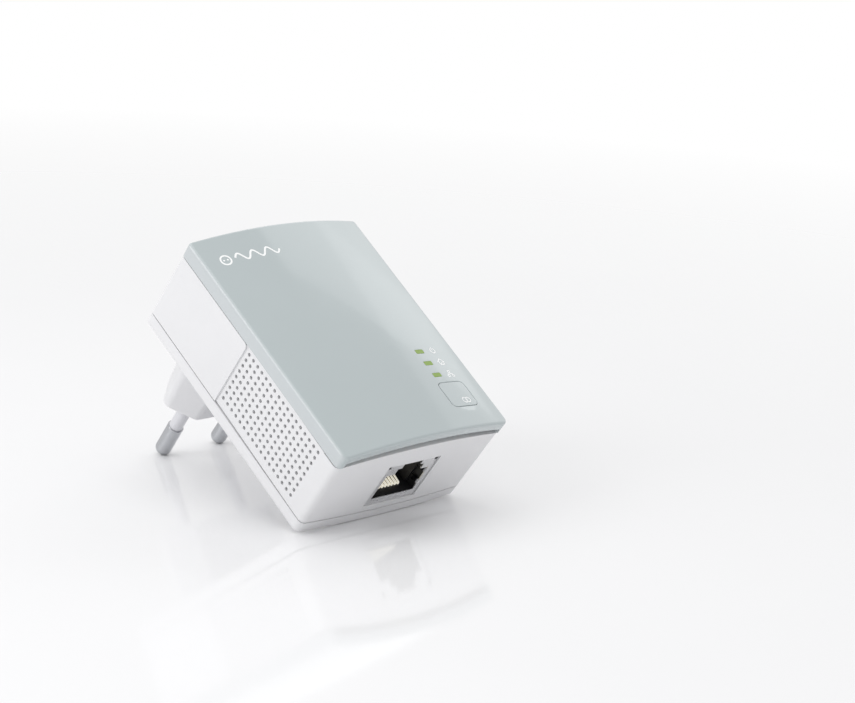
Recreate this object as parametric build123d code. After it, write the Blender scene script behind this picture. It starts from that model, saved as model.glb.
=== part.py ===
from build123d import *
import os
from math import sqrt

# Powerline adapter that plugs into a mains socket, in millimetres.
# Frame: +Y points into the wall, along the plug's pins; +Z points up the wall; the front cover
# faces -Y and the network socket opens downwards, at the lowest end.
# Origin: centre of the plug's end face, where it seats in the mains socket, midway between the pins.
# Inside the case a place is given by x, by its depth (distance in front of the case's back face)
# and by its height (distance above the lowest corners), because that is how the parts stack up.

os.makedirs("parts", exist_ok=True)

# ---------------------------------------------------------------- driving dimensions
CASE_WIDTH = 52.0          # front cover, side to side
CASE_HEIGHT = 65.0         # lowest corners to the top end
EDGE_DEPTH = 25.8          # back face to the front edge at the sides
CROWN_RISE = 2.7           # how far the front bows out at the middle
PLUG_DEPTH = 18.0          # back face to the plug's end face
PLUG_TO_TOP = 11.4         # pins' level to the top end

SKIRT = 3.77               # depth of the cover's sides
END_SKIRT = 2.5            # depth of its lower end, between the corners
TRAY_DEPTH = 3.26          # depth of the back cover's sides
SEAM = 0.18                # gap between the cover and the housing
TRAY_SEAM = 0.34           # shadow gap between the housing and the back cover
COVER_WALL = 1.6
CASE_WALL = 1.8
TRAY_FLOOR = 2.0
CASE_CORNERS = (1.5, 1.0)  # radius of the case's long corners: lower pair and upper pair
HOLLOW_CORNERS = (1.0, 0.6)
COVER_CORNERS = (1.6, 0.9)
COVER_EDGE = 0.55          # rounding of the front edge
COVER_DRAFT = 0.15         # how much the cover's sides lean in, over their depth
COVER_END_BOW = 0.39       # how far the cover's lower end bows out
END_HALF = 24.4            # half width of the shorter lower end
CASE_FRONT_HALF = 25.76    # housing's half width at the cover
CASE_BACK_HALF = 25.3      # housing's half width at the back cover
CASE_END_INSET = 0.5       # housing's lower corners, inside the cover's
CASE_END_BOW = 0.8
CASE_TOP_INSET = 0.15      # housing's top end, inside the cover's
TRAY_HALF = 25.2           # back cover's half width
TRAY_EDGE = 0.95           # rounding of the back edge
LIP = 1.0                  # thickness of the lips that locate the shells on each other
LIP_TOP = 4.8              # depth where the back cover's lip ends
LIP_CORNERS = (0.6, 0.6)   # inner corners of the lips
CLEAR = 0.15               # gap between shells that slide together when the case is closed
HOOK_XS = (-12.0, 12.0)    # snap hooks on the lips, at both ends of the case
HOOK_HALF = 2.5            # a hook's half width
HOOK = 0.35                # how far a hook stands out of its lip
HOOK_ROOT = 0.3            # and how far it is let into it
HOOK_PLAY = 0.1            # room above a hook in its pocket
COVER_HOOKS = (21.9, 22.7)     # depths of the cover's hooks
TRAY_HOOKS = (3.9, 4.6)        # depths of the back cover's hooks

GROOVE = 0.15              # gap for a fingernail under the cover, round the lower end
GROOVE_HEIGHT = 5.4        # how far it runs up the sides

VENT_ROWS = 17             # up the side
VENT_COLUMNS = 9           # front to back
VENT_PITCH = 1.8
VENT_RADIUS = 0.45
VENT_FIRST_HEIGHT = 6.75
VENT_FIRST_DEPTH = 6.0
PANEL_HEIGHT = 37.0        # lower edge of the plain upper side panel
PANEL_STEP = 0.45          # the vented part lies this much lower at that edge
PANEL_CORNER = 1.0
RECESS_FOOT = 4.0          # height where the vented part is level with the corners again

PLUG_TIP_HALF = 18.5       # half width of the plug's end face, at its pointed ends
PLUG_FLAT_HALF = 12.2      # where its flat sides end
PLUG_HALF_HEIGHT = 6.4
PLUG_SWELL = 1.1           # how much wider the plug is at the case, each side
PLUG_WAIST = 0.7           # share of that swell reached half way
PLUG_CORNER = 2.2
PLUG_EDGE = 0.7
PLUG_WALL = 2.0
PIN_ROOT = 9.3             # pin's distance from the middle at the end face
PIN_TIP = 8.75             # and at its tip: the pins lean in a little
PIN_LENGTH = 19.0
PIN_RADIUS = 2.0
PIN_ROUND = 1.7            # rounding of the pin's tip
PIN_SHOULDER = 0.12        # bevel where the full-size end meets the sleeve
PIN_MOUTH = 0.2            # bevel round each pin's hole in the end face
SLEEVE_LENGTH = 9.6
SLEEVE_RADIUS = 1.65
SLEEVE_ROOT = 2.5          # how far the sleeve is let into the plug
CORE_RADIUS = 1.15         # metal under the sleeve and inside the case
PIN_TAIL = 1.2             # how far the pin stands out of the power board
COLLAR_RADIUS = 2.4        # collars that anchor the pin in the plug
COLLARS = ((-6.5, -4.5), (-10.5, -8.5))
PIN_TUBE_RADIUS = 3.8      # plastic round each pin inside the hollow plug

JACK_HALF = 8.0            # network socket's half width
JACK_DEPTHS = (5.35, 18.72)
JACK_HEIGHTS = (0.05, 16.1)
SHEET = 0.25               # thickness of its metal shield
JACK_MOUTH = 6.6           # half width of the opening in the shield
JACK_CAVITY = 6.15         # half width of the plug's space in the insulator
JACK_BED = 7.4             # depths of that space
JACK_ROOF = 15.2
JACK_REAR = 14.6           # height where the insulator ends
JACK_REAR_WALL = 1.6
JACK_PLAY = 0.16           # room round the socket in the housing's opening
NOTCH_STEPS = ((4.1, 17.0), (2.9, 18.45))      # half width and depth of the latch notch's steps
SPRING_REACH = 2.2         # height that the shield's earthing fingers reach up to
SPRING_DEPTHS = (9.3, 13.2)    # back edges of the fingers on each side
SPRING_WIDTH = 1.3
SPRING_THICK = 0.2
RELIEF = 0.85              # notches in the shield's front corners
SHIELD_LEG_HEIGHTS = (9.4, 10.6)   # legs that the shield is soldered by
WIRE_GAP_HALF = 4.6        # opening in the shield for the contacts' tails
WIRE_GAP_HEIGHTS = (14.4, 15.8)
CONTACTS = 8
CONTACT_PITCH = 1.016
CONTACT_RADIUS = 0.22
CONTACT_RISE = 15.25       # height where the contacts run down from the board
CONTACT_LOW = 3.0          # height of their bend near the opening
CONTACT_LANE = 7.3         # depth of the lane they lie in, half sunk
CONTACT_END = (8.6, 9.6)  # depth and height of their free ends
CONTACT_BEND = 0.28
CONTACT_TAIL = 0.5         # how far they stand out of the main board
LANE_HALF = 0.3

WINDOW_X = 13.4            # status windows
WINDOW_TOP_HEIGHT = 22.65
WINDOW_PITCH = 3.6
WINDOW_COUNT = 3
WINDOW_SIZE = (2.7, 1.2)
WINDOW_CORNER = 0.25
GUIDE_DEPTHS = (23.6, 24.6)    # bar of the light guide, behind the cover
GUIDE_HALF = 1.8
GUIDE_MARGIN = 1.2         # bar beyond the outer windows
GUIDE_GAP = 0.03           # between a tip and its window
GUIDE_FOOT = 1.0           # radius of each foot, and its distance from the board

BUTTON_X = 15.6
BUTTON_HEIGHT = 9.4
BUTTON_SIZE = (8.7, 7.1)
BUTTON_CORNER = 1.25
BUTTON_GAP = 0.14
BUTTON_FLANGE = 0.8        # the flange that keeps the button in reaches this much further out
FLANGE_DEPTHS = (24.4, 25.1)
STEM_RADIUS = 1.4
STEM_GAP = 0.04            # between the stem and the switch's plunger

SWITCH = 6.0               # side of the push switch
SWITCH_TOP = 23.7
SWITCH_SHEET = 0.3         # its metal cover
PLUNGER_DEPTHS = (22.2, 24.2)
PLUNGER_FOOT = 22.9        # depth where its wider foot ends
PLUNGER_RADII = (1.7, 2.15)    # stem and foot
PLUNGER_PLAY = 0.1

COLUMN_X = 20.4            # screw columns in the four corners
COLUMN_HEIGHTS = (7.65, 57.2)
COLUMN_RADIUS = 2.3
COLUMN_RIB = 0.4           # half the thickness of the rib to the side wall
PAD_RADIUS = 3.0           # pads on the back cover, under the columns
CASE_SCREW_SHANK = 1.1
CASE_SCREW_HEAD = 1.95
CASE_SCREW_DEPTHS = (0.9, 2.4, 10.5)       # top of the head, its seat and the tip
BOARD_SCREW_SHANK = 0.95
BOARD_SCREW_HEAD = 1.7
BOARD_SCREW_TIP = 15.0
BOARD_SCREW_THICK = 1.2    # its head
SCREW_ROUND = 0.45         # rounding of the heads
SCREW_SLOT = (2.0, 0.48)   # reach and width of the crossed slot
SCREW_SLOT_DEEP = 0.7
THREAD_PLAY = 0.02         # a pilot hole is this much wider than the thread's core
PILOT_ENDS = (12.0, 14.0)  # depths where the pilot holes from the back and the front end

LABEL_HEIGHT = 25.0        # middle of the rating label
LABEL_SIZE = (31.0, 30.0)
LABEL_GAP = 0.3
LABEL_CORNER = 1.0
LABEL_RECESS = 0.2         # depth of its recess
LABEL_THICK = 0.12

BOARD = 1.6                # thickness of both circuit boards
POWER_BOARD_DEPTH = 4.0    # back face of the power board
POWER_BOARD_SIZE = (43.0, 38.4)
POWER_BOARD_MIDDLE = 42.0
POWER_BOARD_NOTCH = 2.9    # half size of the notches for the upper columns
PEG_PLACES = ((-16.0, 50.0), (16.0, 50.0), (-6.0, 24.6), (6.0, 24.6))      # pegs it rests on
PEG_RADIUS = 1.2
MAIN_BOARD_DEPTH = 19.0    # back face of the main board
MAIN_BOARD_SIZE = (45.0, 58.6)
MAIN_BOARD_MIDDLE = 32.5
BOARD_CORNER = 1.2
SHEET_SIZE = (33.0, 33.0)  # insulating sheet behind the main board
SHEET_MIDDLE = 43.6
SHEET_DEPTHS = (0.3, 0.55) # behind the board's back face

LINK_X = 15.6              # middle of the row of link pins between the boards
LINK_HEIGHT = 24.6
LINK_PINS = 4
LINK_PITCH = 2.54
LINK_PIN = 0.62            # side of a link pin
LINK_STRIP = 2.5           # width of the plastic strips
LINK_HOLE = 0.5
LINK_SOCKET = 8.5          # how far the socket strip stands out

CHIP_PLACE = (-5.0, 42.0)  # main chip
CHIP_SIZE = 12.0
CHIP_THICK = 0.9
PAD_THICK = 0.5            # thermal pad on it
SINK_SIZE = 20.0
SINK_BASE = 1.0
SINK_HIGH = 3.0
SINK_FINS = 7
INDUCTOR_X = -18.6
INDUCTOR_HEIGHTS = (44.8, 51.4)
INDUCTOR_SIZE = 5.0
INDUCTOR_THICK = 2.8
LED_SIZE = (2.0, 1.25)
LED_THICK = 0.8

CHIP_BEVEL = 0.15
LINE_TRANSFORMER = (-13.4, 13.0)           # x and height of the network lines' transformer
LINE_TRANSFORMER_SIZE = (8.4, 12.7, 4.0)

COUPLER = (13.6, 13.2)     # x and height of the line coupling transformer
COUPLER_HIGH = 7.8
COUPLER_FLANGE = 1.0
COUPLER_RADII = (2.2, 3.7, 4.1)            # core, winding and flange
CAN_ROUND = 0.5            # rounding of the round capacitors' ends
CAN_GROOVE = 1.8           # height of their rolled groove
CAN_ROLL = 0.35
DISC_LIFT = 0.8            # gap under the discs that stand on edge
BOX_ROUND = 0.4
CHOKE = (13.6, 46.8)       # x and height of the line choke
CHOKE_RADII = (2.4, 4.2)   # its ring
CHOKE_RING = (1.2, 5.2)    # how far the ring's faces stand off the power board
CHOKE_WIRE = 0.7           # thickness of its windings
CHOKE_GAP = 2.6            # gap between its two windings
TRANSFORMER = (0.6, 35.4)  # x and height of the supply's transformer
CORE_SIZE = (13.0, 6.0)
CORE_HEIGHTS = (1.4, 12.0) # how far its core's faces stand off the power board
CORE_PLATE = 2.4
CORE_LEG = 3.0             # width of its middle leg
BOBBIN_SIZE = (7.8, 12.0)
BOBBIN_TUBE = (4.0, 7.2)
BOBBIN_FLANGE = 0.6
BOBBIN_FOOT = 1.6

# ---------------------------------------------------------------- worked out from them
BACK_Y = -PLUG_DEPTH
LOW_Z = PLUG_TO_TOP - CASE_HEIGHT
HALF_WIDTH = CASE_WIDTH / 2
CROWN_RADIUS = (HALF_WIDTH**2 + CROWN_RISE**2) / (2 * CROWN_RISE)
CROWN_DEPTH = EDGE_DEPTH + CROWN_RISE
HOUSING_CROWN = CROWN_DEPTH - SKIRT - SEAM
HOUSING_BACK = TRAY_DEPTH + TRAY_SEAM
HOUSING_HEIGHTS = (CASE_END_INSET, CASE_HEIGHT - CASE_TOP_INSET)
HOLLOW_HEIGHTS = (HOUSING_HEIGHTS[0] + CASE_WALL, HOUSING_HEIGHTS[1] - CASE_WALL)
POWER_FACE = POWER_BOARD_DEPTH + BOARD
MAIN_FACE = MAIN_BOARD_DEPTH + BOARD
PIN_END = -(PLUG_DEPTH + POWER_FACE + PIN_TAIL)
THROUGH = (-2.0, 40.0)     # depths on both sides of the whole case
SLIVER = 0.05              # overlap that joins two shapes of one moulding
FRONT_ONLY = (20.0, 40.0)  # depths that pass through the cover's front alone
BELOW = -2.0               # height below the case


# ---------------------------------------------------------------- helpers
def y_at(depth):
    """Y of a depth, measured forwards from the case's back face."""
    return BACK_Y - depth


def z_at(height):
    """Z of a height, measured from the case's lowest corners."""
    return LOW_Z + height


def crown_depth(x, crown):
    """Depth at x of a bowed front whose middle is at the depth crown."""
    return crown - CROWN_RADIUS + sqrt(CROWN_RADIUS**2 - x**2)


def barrel(crown):
    """Cylinder that lies behind a bowed front whose middle is at the depth crown."""
    middle = Pos(0, y_at(crown - CROWN_RADIUS), z_at(CASE_HEIGHT / 2))
    return middle * Cylinder(CROWN_RADIUS, 2 * CASE_HEIGHT)


def block(xs, depths, heights):
    """Box between two x values, two depths and two heights."""
    size = Box(xs[1] - xs[0], depths[1] - depths[0], heights[1] - heights[0])
    return Pos(sum(xs) / 2, y_at(sum(depths) / 2), z_at(sum(heights) / 2)) * size


def around(x, height, width, tall, depths):
    """Box centred on x and height."""
    return block((x - width / 2, x + width / 2), depths, (height - tall / 2, height + tall / 2))


def rod(x, height, radius, depths):
    """Cylinder along Y between two depths."""
    middle = Pos(x, y_at(sum(depths) / 2), z_at(height))
    return middle * Rot(90, 0, 0) * Cylinder(radius, depths[1] - depths[0])


def front_plane(depth):
    """Plane facing the front at a depth, with its origin on the lowest corners' level."""
    return Plane(origin=(0, y_at(depth), LOW_Z), x_dir=(1, 0, 0), z_dir=(0, -1, 0))


def plate(x, height, size, corner, depths):
    """Plate with rounded corners that faces the front."""
    outline = Pos(x, height) * RectangleRounded(*size, corner)
    return extrude(front_plane(depths[0]) * outline, depths[1] - depths[0])


def case_outline(half, heights, bow, corners):
    """Case seen from the front: rounded lower and upper corners and a bowed lower end."""
    low = ThreePointArc((-half, heights[0]), (0, heights[0] - bow), (half, heights[0]))
    top = Polyline((half, heights[0]), (half, heights[1]), (-half, heights[1]), (-half, heights[0]))
    outline = fillet(make_face(low + top).vertices().sort_by(Axis.Y)[:2], corners[0])
    return fillet(outline.vertices().sort_by(Axis.Y)[-2:], corners[1])


def flat_block(half, depths, heights, bow, corners):
    """Case outline with straight sides."""
    outline = front_plane(depths[0]) * case_outline(half, heights, bow, corners)
    return extrude(outline, depths[1] - depths[0])


def side_half(depth):
    """Housing's half width at a depth; its sides lean out towards the front."""
    front = crown_depth(CASE_FRONT_HALF, HOUSING_CROWN)
    lean = (CASE_FRONT_HALF - CASE_BACK_HALF) / (front - HOUSING_BACK)
    return CASE_BACK_HALF + lean * (depth - HOUSING_BACK)


def leaning_block(halves, depths, heights, bow, corners):
    """Case outline with one half width at the back and another at the front."""
    ends = []
    for half, depth in zip(halves, depths):
        ends.append(front_plane(depth) * case_outline(half, heights, bow, corners))
    return loft(ends, ruled=True)


def column_places():
    """Places (x, height) of the corner columns."""
    return [(side * COLUMN_X, height) for side in (-1, 1) for height in COLUMN_HEIGHTS]


def window_heights():
    """Heights of the status windows, from the top one down."""
    return [WINDOW_TOP_HEIGHT - index * WINDOW_PITCH for index in range(WINDOW_COUNT)]


def cross_recess(x, height, depths):
    """Cutter for a crossed screwdriver slot."""
    reach, thick = SCREW_SLOT
    return around(x, height, reach, thick, depths) + around(x, height, thick, reach, depths)


def save(part, name):
    export_step(part, f"parts/{name}.step")


# ---------------------------------------------------------------- main housing
def vent_holes():
    """Cutters for the holes in both sides."""
    holes = []
    for row in range(VENT_ROWS):
        for column in range(VENT_COLUMNS):
            height = VENT_FIRST_HEIGHT + row * VENT_PITCH
            depth = VENT_FIRST_DEPTH + column * VENT_PITCH
            for side in (-1, 1):
                middle = Pos(side * (side_half(depth) - CASE_WALL / 2), y_at(depth), z_at(height))
                holes.append(middle * Rot(0, 90, 0) * Cylinder(VENT_RADIUS, 2 * CASE_WALL))
    return holes


def vent_recess(side):
    """Cutter that lowers the vented part of one side, most at the plain panel's edge."""
    ends = []
    for depth in (HOUSING_BACK - 1, CROWN_DEPTH):
        half = side_half(depth)
        profile = Polyline(
            (side * half, RECESS_FOOT),
            (side * (half - PANEL_STEP), PANEL_HEIGHT),
            (side * (half + 1), PANEL_HEIGHT),
            (side * (half + 1), RECESS_FOOT),
            close=True,
        )
        ends.append(front_plane(depth) * make_face(profile))
    return loft(ends, ruled=True)


def panel_corner(side):
    """Cutter that rounds the plain panel's front lower corner."""
    edge = crown_depth(CASE_FRONT_HALF, HOUSING_CROWN)
    inner = side_half(edge) - PANEL_STEP
    xs = sorted((side * inner, side * (inner + 2)))
    heights = (PANEL_HEIGHT - 0.1, PANEL_HEIGHT + PANEL_CORNER)
    corner = block(xs, (edge - PANEL_CORNER, edge + 1), heights)
    middle = Pos(side * (inner + 1), y_at(edge - PANEL_CORNER), z_at(heights[1]))
    return corner - middle * Rot(0, 90, 0) * Cylinder(PANEL_CORNER, 4)


def finger_groove():
    """Cutter for the gap under the cover's edge, round the lower end."""
    depths = (FRONT_ONLY[0], CROWN_DEPTH)
    reach = block((-HALF_WIDTH - 1, HALF_WIDTH + 1), depths, (BELOW, GROOVE_HEIGHT))
    return reach - barrel(HOUSING_CROWN - GROOVE)


def snap_hooks(depths, heights, grow=0.0):
    """Hooks on the outside of a lip at one end; grow makes the pockets they snap into."""
    half = HOOK_HALF + grow
    grown = (depths[0] - grow, depths[1] + grow)
    return [block((x - half, x + half), grown, heights) for x in HOOK_XS]


def columns():
    """Screw columns, each joined to the side wall by a rib that runs between two rows of vents."""
    depths = (POWER_BOARD_DEPTH - SLIVER, MAIN_BOARD_DEPTH)
    made = []
    for x, height in column_places():
        side = 1 if x > 0 else -1
        wall = sorted((x, side * (CASE_BACK_HALF - CASE_WALL / 2)))
        heights = (height - COLUMN_RIB, height + COLUMN_RIB)
        rib = block(wall, (TRAY_DEPTH + CASE_WALL, MAIN_BOARD_DEPTH), heights)
        made.append(rod(x, height, COLUMN_RADIUS, depths) + rib)
    return made


def screw_pilots():
    """Cutters for the screw holes in both ends of the columns."""
    pilots = []
    for x, height in column_places():
        pilots.append(rod(x, height, CASE_SCREW_SHANK + THREAD_PLAY, (THROUGH[0], PILOT_ENDS[0])))
        pilots.append(rod(x, height, BOARD_SCREW_SHANK + THREAD_PLAY, (PILOT_ENDS[1], THROUGH[1])))
    return pilots


def main_housing():
    outer_halves = (CASE_BACK_HALF, side_half(CROWN_DEPTH))
    outer_depths = (HOUSING_BACK, CROWN_DEPTH)
    outer = leaning_block(outer_halves, outer_depths, HOUSING_HEIGHTS, CASE_END_BOW, CASE_CORNERS)
    outer = outer & barrel(HOUSING_CROWN)
    inner_depths = (HOUSING_BACK - 1, CROWN_DEPTH + 1)
    inner_halves = [side_half(depth) - CASE_WALL for depth in inner_depths]
    inner = leaning_block(inner_halves, inner_depths, HOLLOW_HEIGHTS, CASE_END_BOW, HOLLOW_CORNERS)
    shell = outer - inner
    shell = shell + columns()
    shell = shell - screw_pilots()
    shell = shell - [vent_recess(-1), vent_recess(1), panel_corner(-1), panel_corner(1)]
    shell = shell - finger_groove()
    jack_half = JACK_HALF + JACK_PLAY
    jack_depths = (JACK_DEPTHS[0] - JACK_PLAY, JACK_DEPTHS[1] + JACK_PLAY)
    shell = shell - block((-jack_half, jack_half), jack_depths, (BELOW, 2 * CASE_WALL))
    top_pocket = (HOLLOW_HEIGHTS[1] - HOOK_PLAY, HOLLOW_HEIGHTS[1] + HOOK + HOOK_PLAY)
    low_pocket = (HOLLOW_HEIGHTS[0] - CASE_END_BOW - HOOK - HOOK_PLAY, HOLLOW_HEIGHTS[0])
    shell = shell - snap_hooks(COVER_HOOKS, top_pocket, CLEAR)
    shell = shell - snap_hooks(COVER_HOOKS, low_pocket, CLEAR)
    shell = shell - snap_hooks(TRAY_HOOKS, top_pocket, CLEAR)
    return shell - vent_holes()


# ---------------------------------------------------------------- front cover and button
def locating_lip(depths):
    """Ring that stands inside the housing's walls."""
    half = side_half(min(depths)) - CASE_WALL - CLEAR
    outer_heights = (HOLLOW_HEIGHTS[0] + CLEAR, HOLLOW_HEIGHTS[1] - CLEAR)
    inner_heights = (outer_heights[0] + LIP, outer_heights[1] - LIP)
    outer = flat_block(half, depths, outer_heights, CASE_END_BOW, HOLLOW_CORNERS)
    inner_depths = (depths[0] - 1, depths[1] + 1)
    inner = flat_block(half - LIP, inner_depths, inner_heights, CASE_END_BOW, LIP_CORNERS)
    return outer - inner


def front_cover():
    depths = (EDGE_DEPTH - SKIRT - 1, CROWN_DEPTH + 0.5)
    halves = (HALF_WIDTH - COVER_DRAFT, HALF_WIDTH)
    heights = (0, CASE_HEIGHT)
    outer = leaning_block(halves, depths, heights, COVER_END_BOW, COVER_CORNERS) & barrel(CROWN_DEPTH)
    front_face = outer.faces().sort_by(Axis.Y)[0]
    outer = fillet(front_face.edges(), COVER_EDGE)
    hollow_heights = (COVER_WALL, CASE_HEIGHT - COVER_WALL)
    hollow = flat_block(
        HALF_WIDTH - COVER_DRAFT - COVER_WALL,
        (depths[0] - 1, CROWN_DEPTH),
        hollow_heights,
        COVER_END_BOW,
        LIP_CORNERS,
    )
    shell = outer - (hollow & barrel(CROWN_DEPTH - COVER_WALL))
    shell = shell - barrel(CROWN_DEPTH - SKIRT)
    end = block((-END_HALF, END_HALF), THROUGH, (BELOW, COVER_WALL))
    shell = shell - (end & barrel(CROWN_DEPTH - END_SKIRT))
    lip = locating_lip((MAIN_FACE + 2 * CLEAR, CROWN_DEPTH)) & barrel(CROWN_DEPTH - COVER_WALL / 2)
    top = HOLLOW_HEIGHTS[1] - CLEAR
    low = HOLLOW_HEIGHTS[0] + CLEAR - CASE_END_BOW
    hooks = snap_hooks(COVER_HOOKS, (top - HOOK_ROOT, top + HOOK))
    hooks += snap_hooks(COVER_HOOKS, (low - HOOK + CLEAR, low + 2 * HOOK_ROOT))
    shell = shell + lip + hooks
    for height in window_heights():
        shell = shell - plate(WINDOW_X, height, WINDOW_SIZE, WINDOW_CORNER, FRONT_ONLY)
    opening = [side + 2 * BUTTON_GAP for side in BUTTON_SIZE]
    return shell - plate(BUTTON_X, BUTTON_HEIGHT, opening, BUTTON_CORNER + BUTTON_GAP, FRONT_ONLY)


def pair_button():
    """Button with a flange behind the cover and a stem that reaches the switch."""
    depths = (FLANGE_DEPTHS[0], THROUGH[1])
    cap = plate(BUTTON_X, BUTTON_HEIGHT, BUTTON_SIZE, BUTTON_CORNER, depths)
    cap = cap & barrel(CROWN_DEPTH)
    size = [side + 2 * BUTTON_FLANGE for side in BUTTON_SIZE]
    flange = plate(BUTTON_X, BUTTON_HEIGHT, size, BUTTON_CORNER + BUTTON_FLANGE, FLANGE_DEPTHS)
    stem_depths = (PLUNGER_DEPTHS[1] + STEM_GAP, FLANGE_DEPTHS[0] + SLIVER)
    return cap + flange + rod(BUTTON_X, BUTTON_HEIGHT, STEM_RADIUS, stem_depths)


def light_guide():
    """Clear moulding with a tip in each status window and a foot over each light."""
    heights = (window_heights()[-1] - GUIDE_MARGIN, window_heights()[0] + GUIDE_MARGIN)
    guide = block((WINDOW_X - GUIDE_HALF, WINDOW_X + GUIDE_HALF), GUIDE_DEPTHS, heights)
    tip_size = [side - 2 * GUIDE_GAP for side in WINDOW_SIZE]
    tip_depths = (GUIDE_DEPTHS[1] - SLIVER, THROUGH[1])
    foot_depths = (MAIN_FACE + GUIDE_FOOT, GUIDE_DEPTHS[0] + SLIVER)
    for height in window_heights():
        tip = plate(WINDOW_X, height, tip_size, WINDOW_CORNER, tip_depths)
        guide = guide + (tip & barrel(CROWN_DEPTH))
        guide = guide + rod(WINDOW_X, height, GUIDE_FOOT, foot_depths)
    return guide


# ---------------------------------------------------------------- mains plug
def pin_plane(side):
    """Plane at a pin's root whose normal runs along the pin."""
    lean = Vector(side * (PIN_TIP - PIN_ROOT), PIN_LENGTH, 0)
    return Plane(origin=(side * PIN_ROOT, 0, 0), x_dir=(0, 0, 1), z_dir=lean)


def along_pin(side, radius, start, end):
    """Cylinder round the pin's axis, from start to end in front of the plug's end face."""
    return pin_plane(side) * Pos(0, 0, (start + end) / 2) * Cylinder(radius, end - start)


def mains_pin(side):
    """Pin with a full-size end, a thinner core, two collars in the plug and a tail for the board."""
    end = along_pin(side, PIN_RADIUS, SLEEVE_LENGTH, PIN_LENGTH)
    tip_edges = end.edges().sort_by(Axis.Y)[-1:]
    end = fillet(tip_edges, PIN_ROUND)
    shoulder = end.edges().sort_by(Axis.Y)[:1]
    end = chamfer(shoulder, PIN_SHOULDER)
    core = along_pin(side, CORE_RADIUS, PIN_END, SLEEVE_LENGTH + 1)
    return end + core + [along_pin(side, COLLAR_RADIUS, *ends) for ends in COLLARS]


def pin_sleeve(side):
    """Insulating sleeve on the pin's root, let into the plug."""
    tube = along_pin(side, SLEEVE_RADIUS, -SLEEVE_ROOT, SLEEVE_LENGTH)
    return tube - along_pin(side, CORE_RADIUS, -SLEEVE_ROOT - 1, SLEEVE_LENGTH + 1)


def pin_mouth(side):
    """Cutter that bevels a pin's hole where it meets the plug's end face."""
    cone = Cone(SLEEVE_RADIUS, SLEEVE_RADIUS + 2 * PIN_MOUTH, 2 * PIN_MOUTH)
    return pin_plane(side) * cone


def plug_section(y, grow):
    """Six-sided outline of the plug at one y, grown outwards all round."""
    tip = PLUG_TIP_HALF + grow
    flat = PLUG_FLAT_HALF + grow / 2
    tall = PLUG_HALF_HEIGHT + grow
    outline = Polyline(
        (tip, 0), (flat, tall), (-flat, tall), (-tip, 0), (-flat, -tall), (flat, -tall), close=True
    )
    plane = Plane(origin=(0, y, 0), x_dir=(1, 0, 0), z_dir=(0, -1, 0))
    return plane * fillet(make_face(outline).vertices(), PLUG_CORNER)


def plug_body():
    """Hollow plug with a tube of plastic round each pin."""
    stations = [(0, 0), (-PLUG_DEPTH / 2, PLUG_WAIST * PLUG_SWELL), (-PLUG_DEPTH - 1, PLUG_SWELL)]
    outer = loft([plug_section(y, grow) for y, grow in stations])
    outer = fillet(outer.faces().sort_by(Axis.Y)[-1].edges(), PLUG_EDGE)
    inner_stations = [(-PLUG_WALL - 0.5, -PLUG_WALL), (-PLUG_DEPTH - TRAY_FLOOR - 1, -PLUG_WALL)]
    inner = loft([plug_section(y, grow) for y, grow in inner_stations], ruled=True)
    for side in (-1, 1):
        inner = inner - along_pin(side, PIN_TUBE_RADIUS, -PLUG_DEPTH, 0)
    return outer, inner


# ---------------------------------------------------------------- back cover
def back_cover():
    tray = flat_block(TRAY_HALF, (0, TRAY_DEPTH), HOUSING_HEIGHTS, CASE_END_BOW, CASE_CORNERS)
    tray = fillet(tray.faces().sort_by(Axis.Y)[-1].edges(), TRAY_EDGE)
    half = side_half(HOUSING_BACK) - CASE_WALL - CLEAR - LIP
    hollow_heights = (HOLLOW_HEIGHTS[0] + CLEAR + LIP, HOLLOW_HEIGHTS[1] - CLEAR - LIP)
    tray = tray - flat_block(half, (TRAY_FLOOR, THROUGH[1]), hollow_heights, CASE_END_BOW, LIP_CORNERS)
    tray = tray + locating_lip((TRAY_FLOOR, LIP_TOP))
    pad_top = POWER_BOARD_DEPTH - HOOK_PLAY
    for x, height in column_places():
        tray = tray - rod(x, height, COLUMN_RADIUS + CLEAR, (pad_top, THROUGH[1]))
    top = HOLLOW_HEIGHTS[1] - CLEAR
    tray = tray + snap_hooks(TRAY_HOOKS, (top - HOOK_ROOT, top + HOOK))
    plug, plug_hollow = plug_body()
    tray = tray + plug - plug_hollow
    inside = flat_block(half + LIP / 2, (0, pad_top), hollow_heights, CASE_END_BOW, LIP_CORNERS)
    for x, height in column_places():
        tray = tray + (rod(x, height, PAD_RADIUS, (TRAY_FLOOR / 4, pad_top)) & inside)
        tray = tray - rod(x, height, CASE_SCREW_HEAD + CLEAR, (THROUGH[0], CASE_SCREW_DEPTHS[1]))
        tray = tray - rod(x, height, CASE_SCREW_SHANK + CLEAR, (THROUGH[0], LIP_TOP + 1))
    for x, height in PEG_PLACES:
        tray = tray + rod(x, height, PEG_RADIUS, (TRAY_FLOOR - SLIVER, POWER_BOARD_DEPTH))
    recess = [side + 2 * LABEL_GAP for side in LABEL_SIZE]
    recess_depths = (THROUGH[0], LABEL_RECESS)
    tray = tray - plate(0, LABEL_HEIGHT, recess, LABEL_CORNER + LABEL_GAP, recess_depths)
    for side in (-1, 1):
        tray = tray - mains_pin(side) - pin_sleeve(side) - pin_mouth(side)
    return tray


def rating_label():
    depths = (LABEL_RECESS - LABEL_THICK, LABEL_RECESS)
    return plate(0, LABEL_HEIGHT, LABEL_SIZE, LABEL_CORNER, depths)


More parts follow.
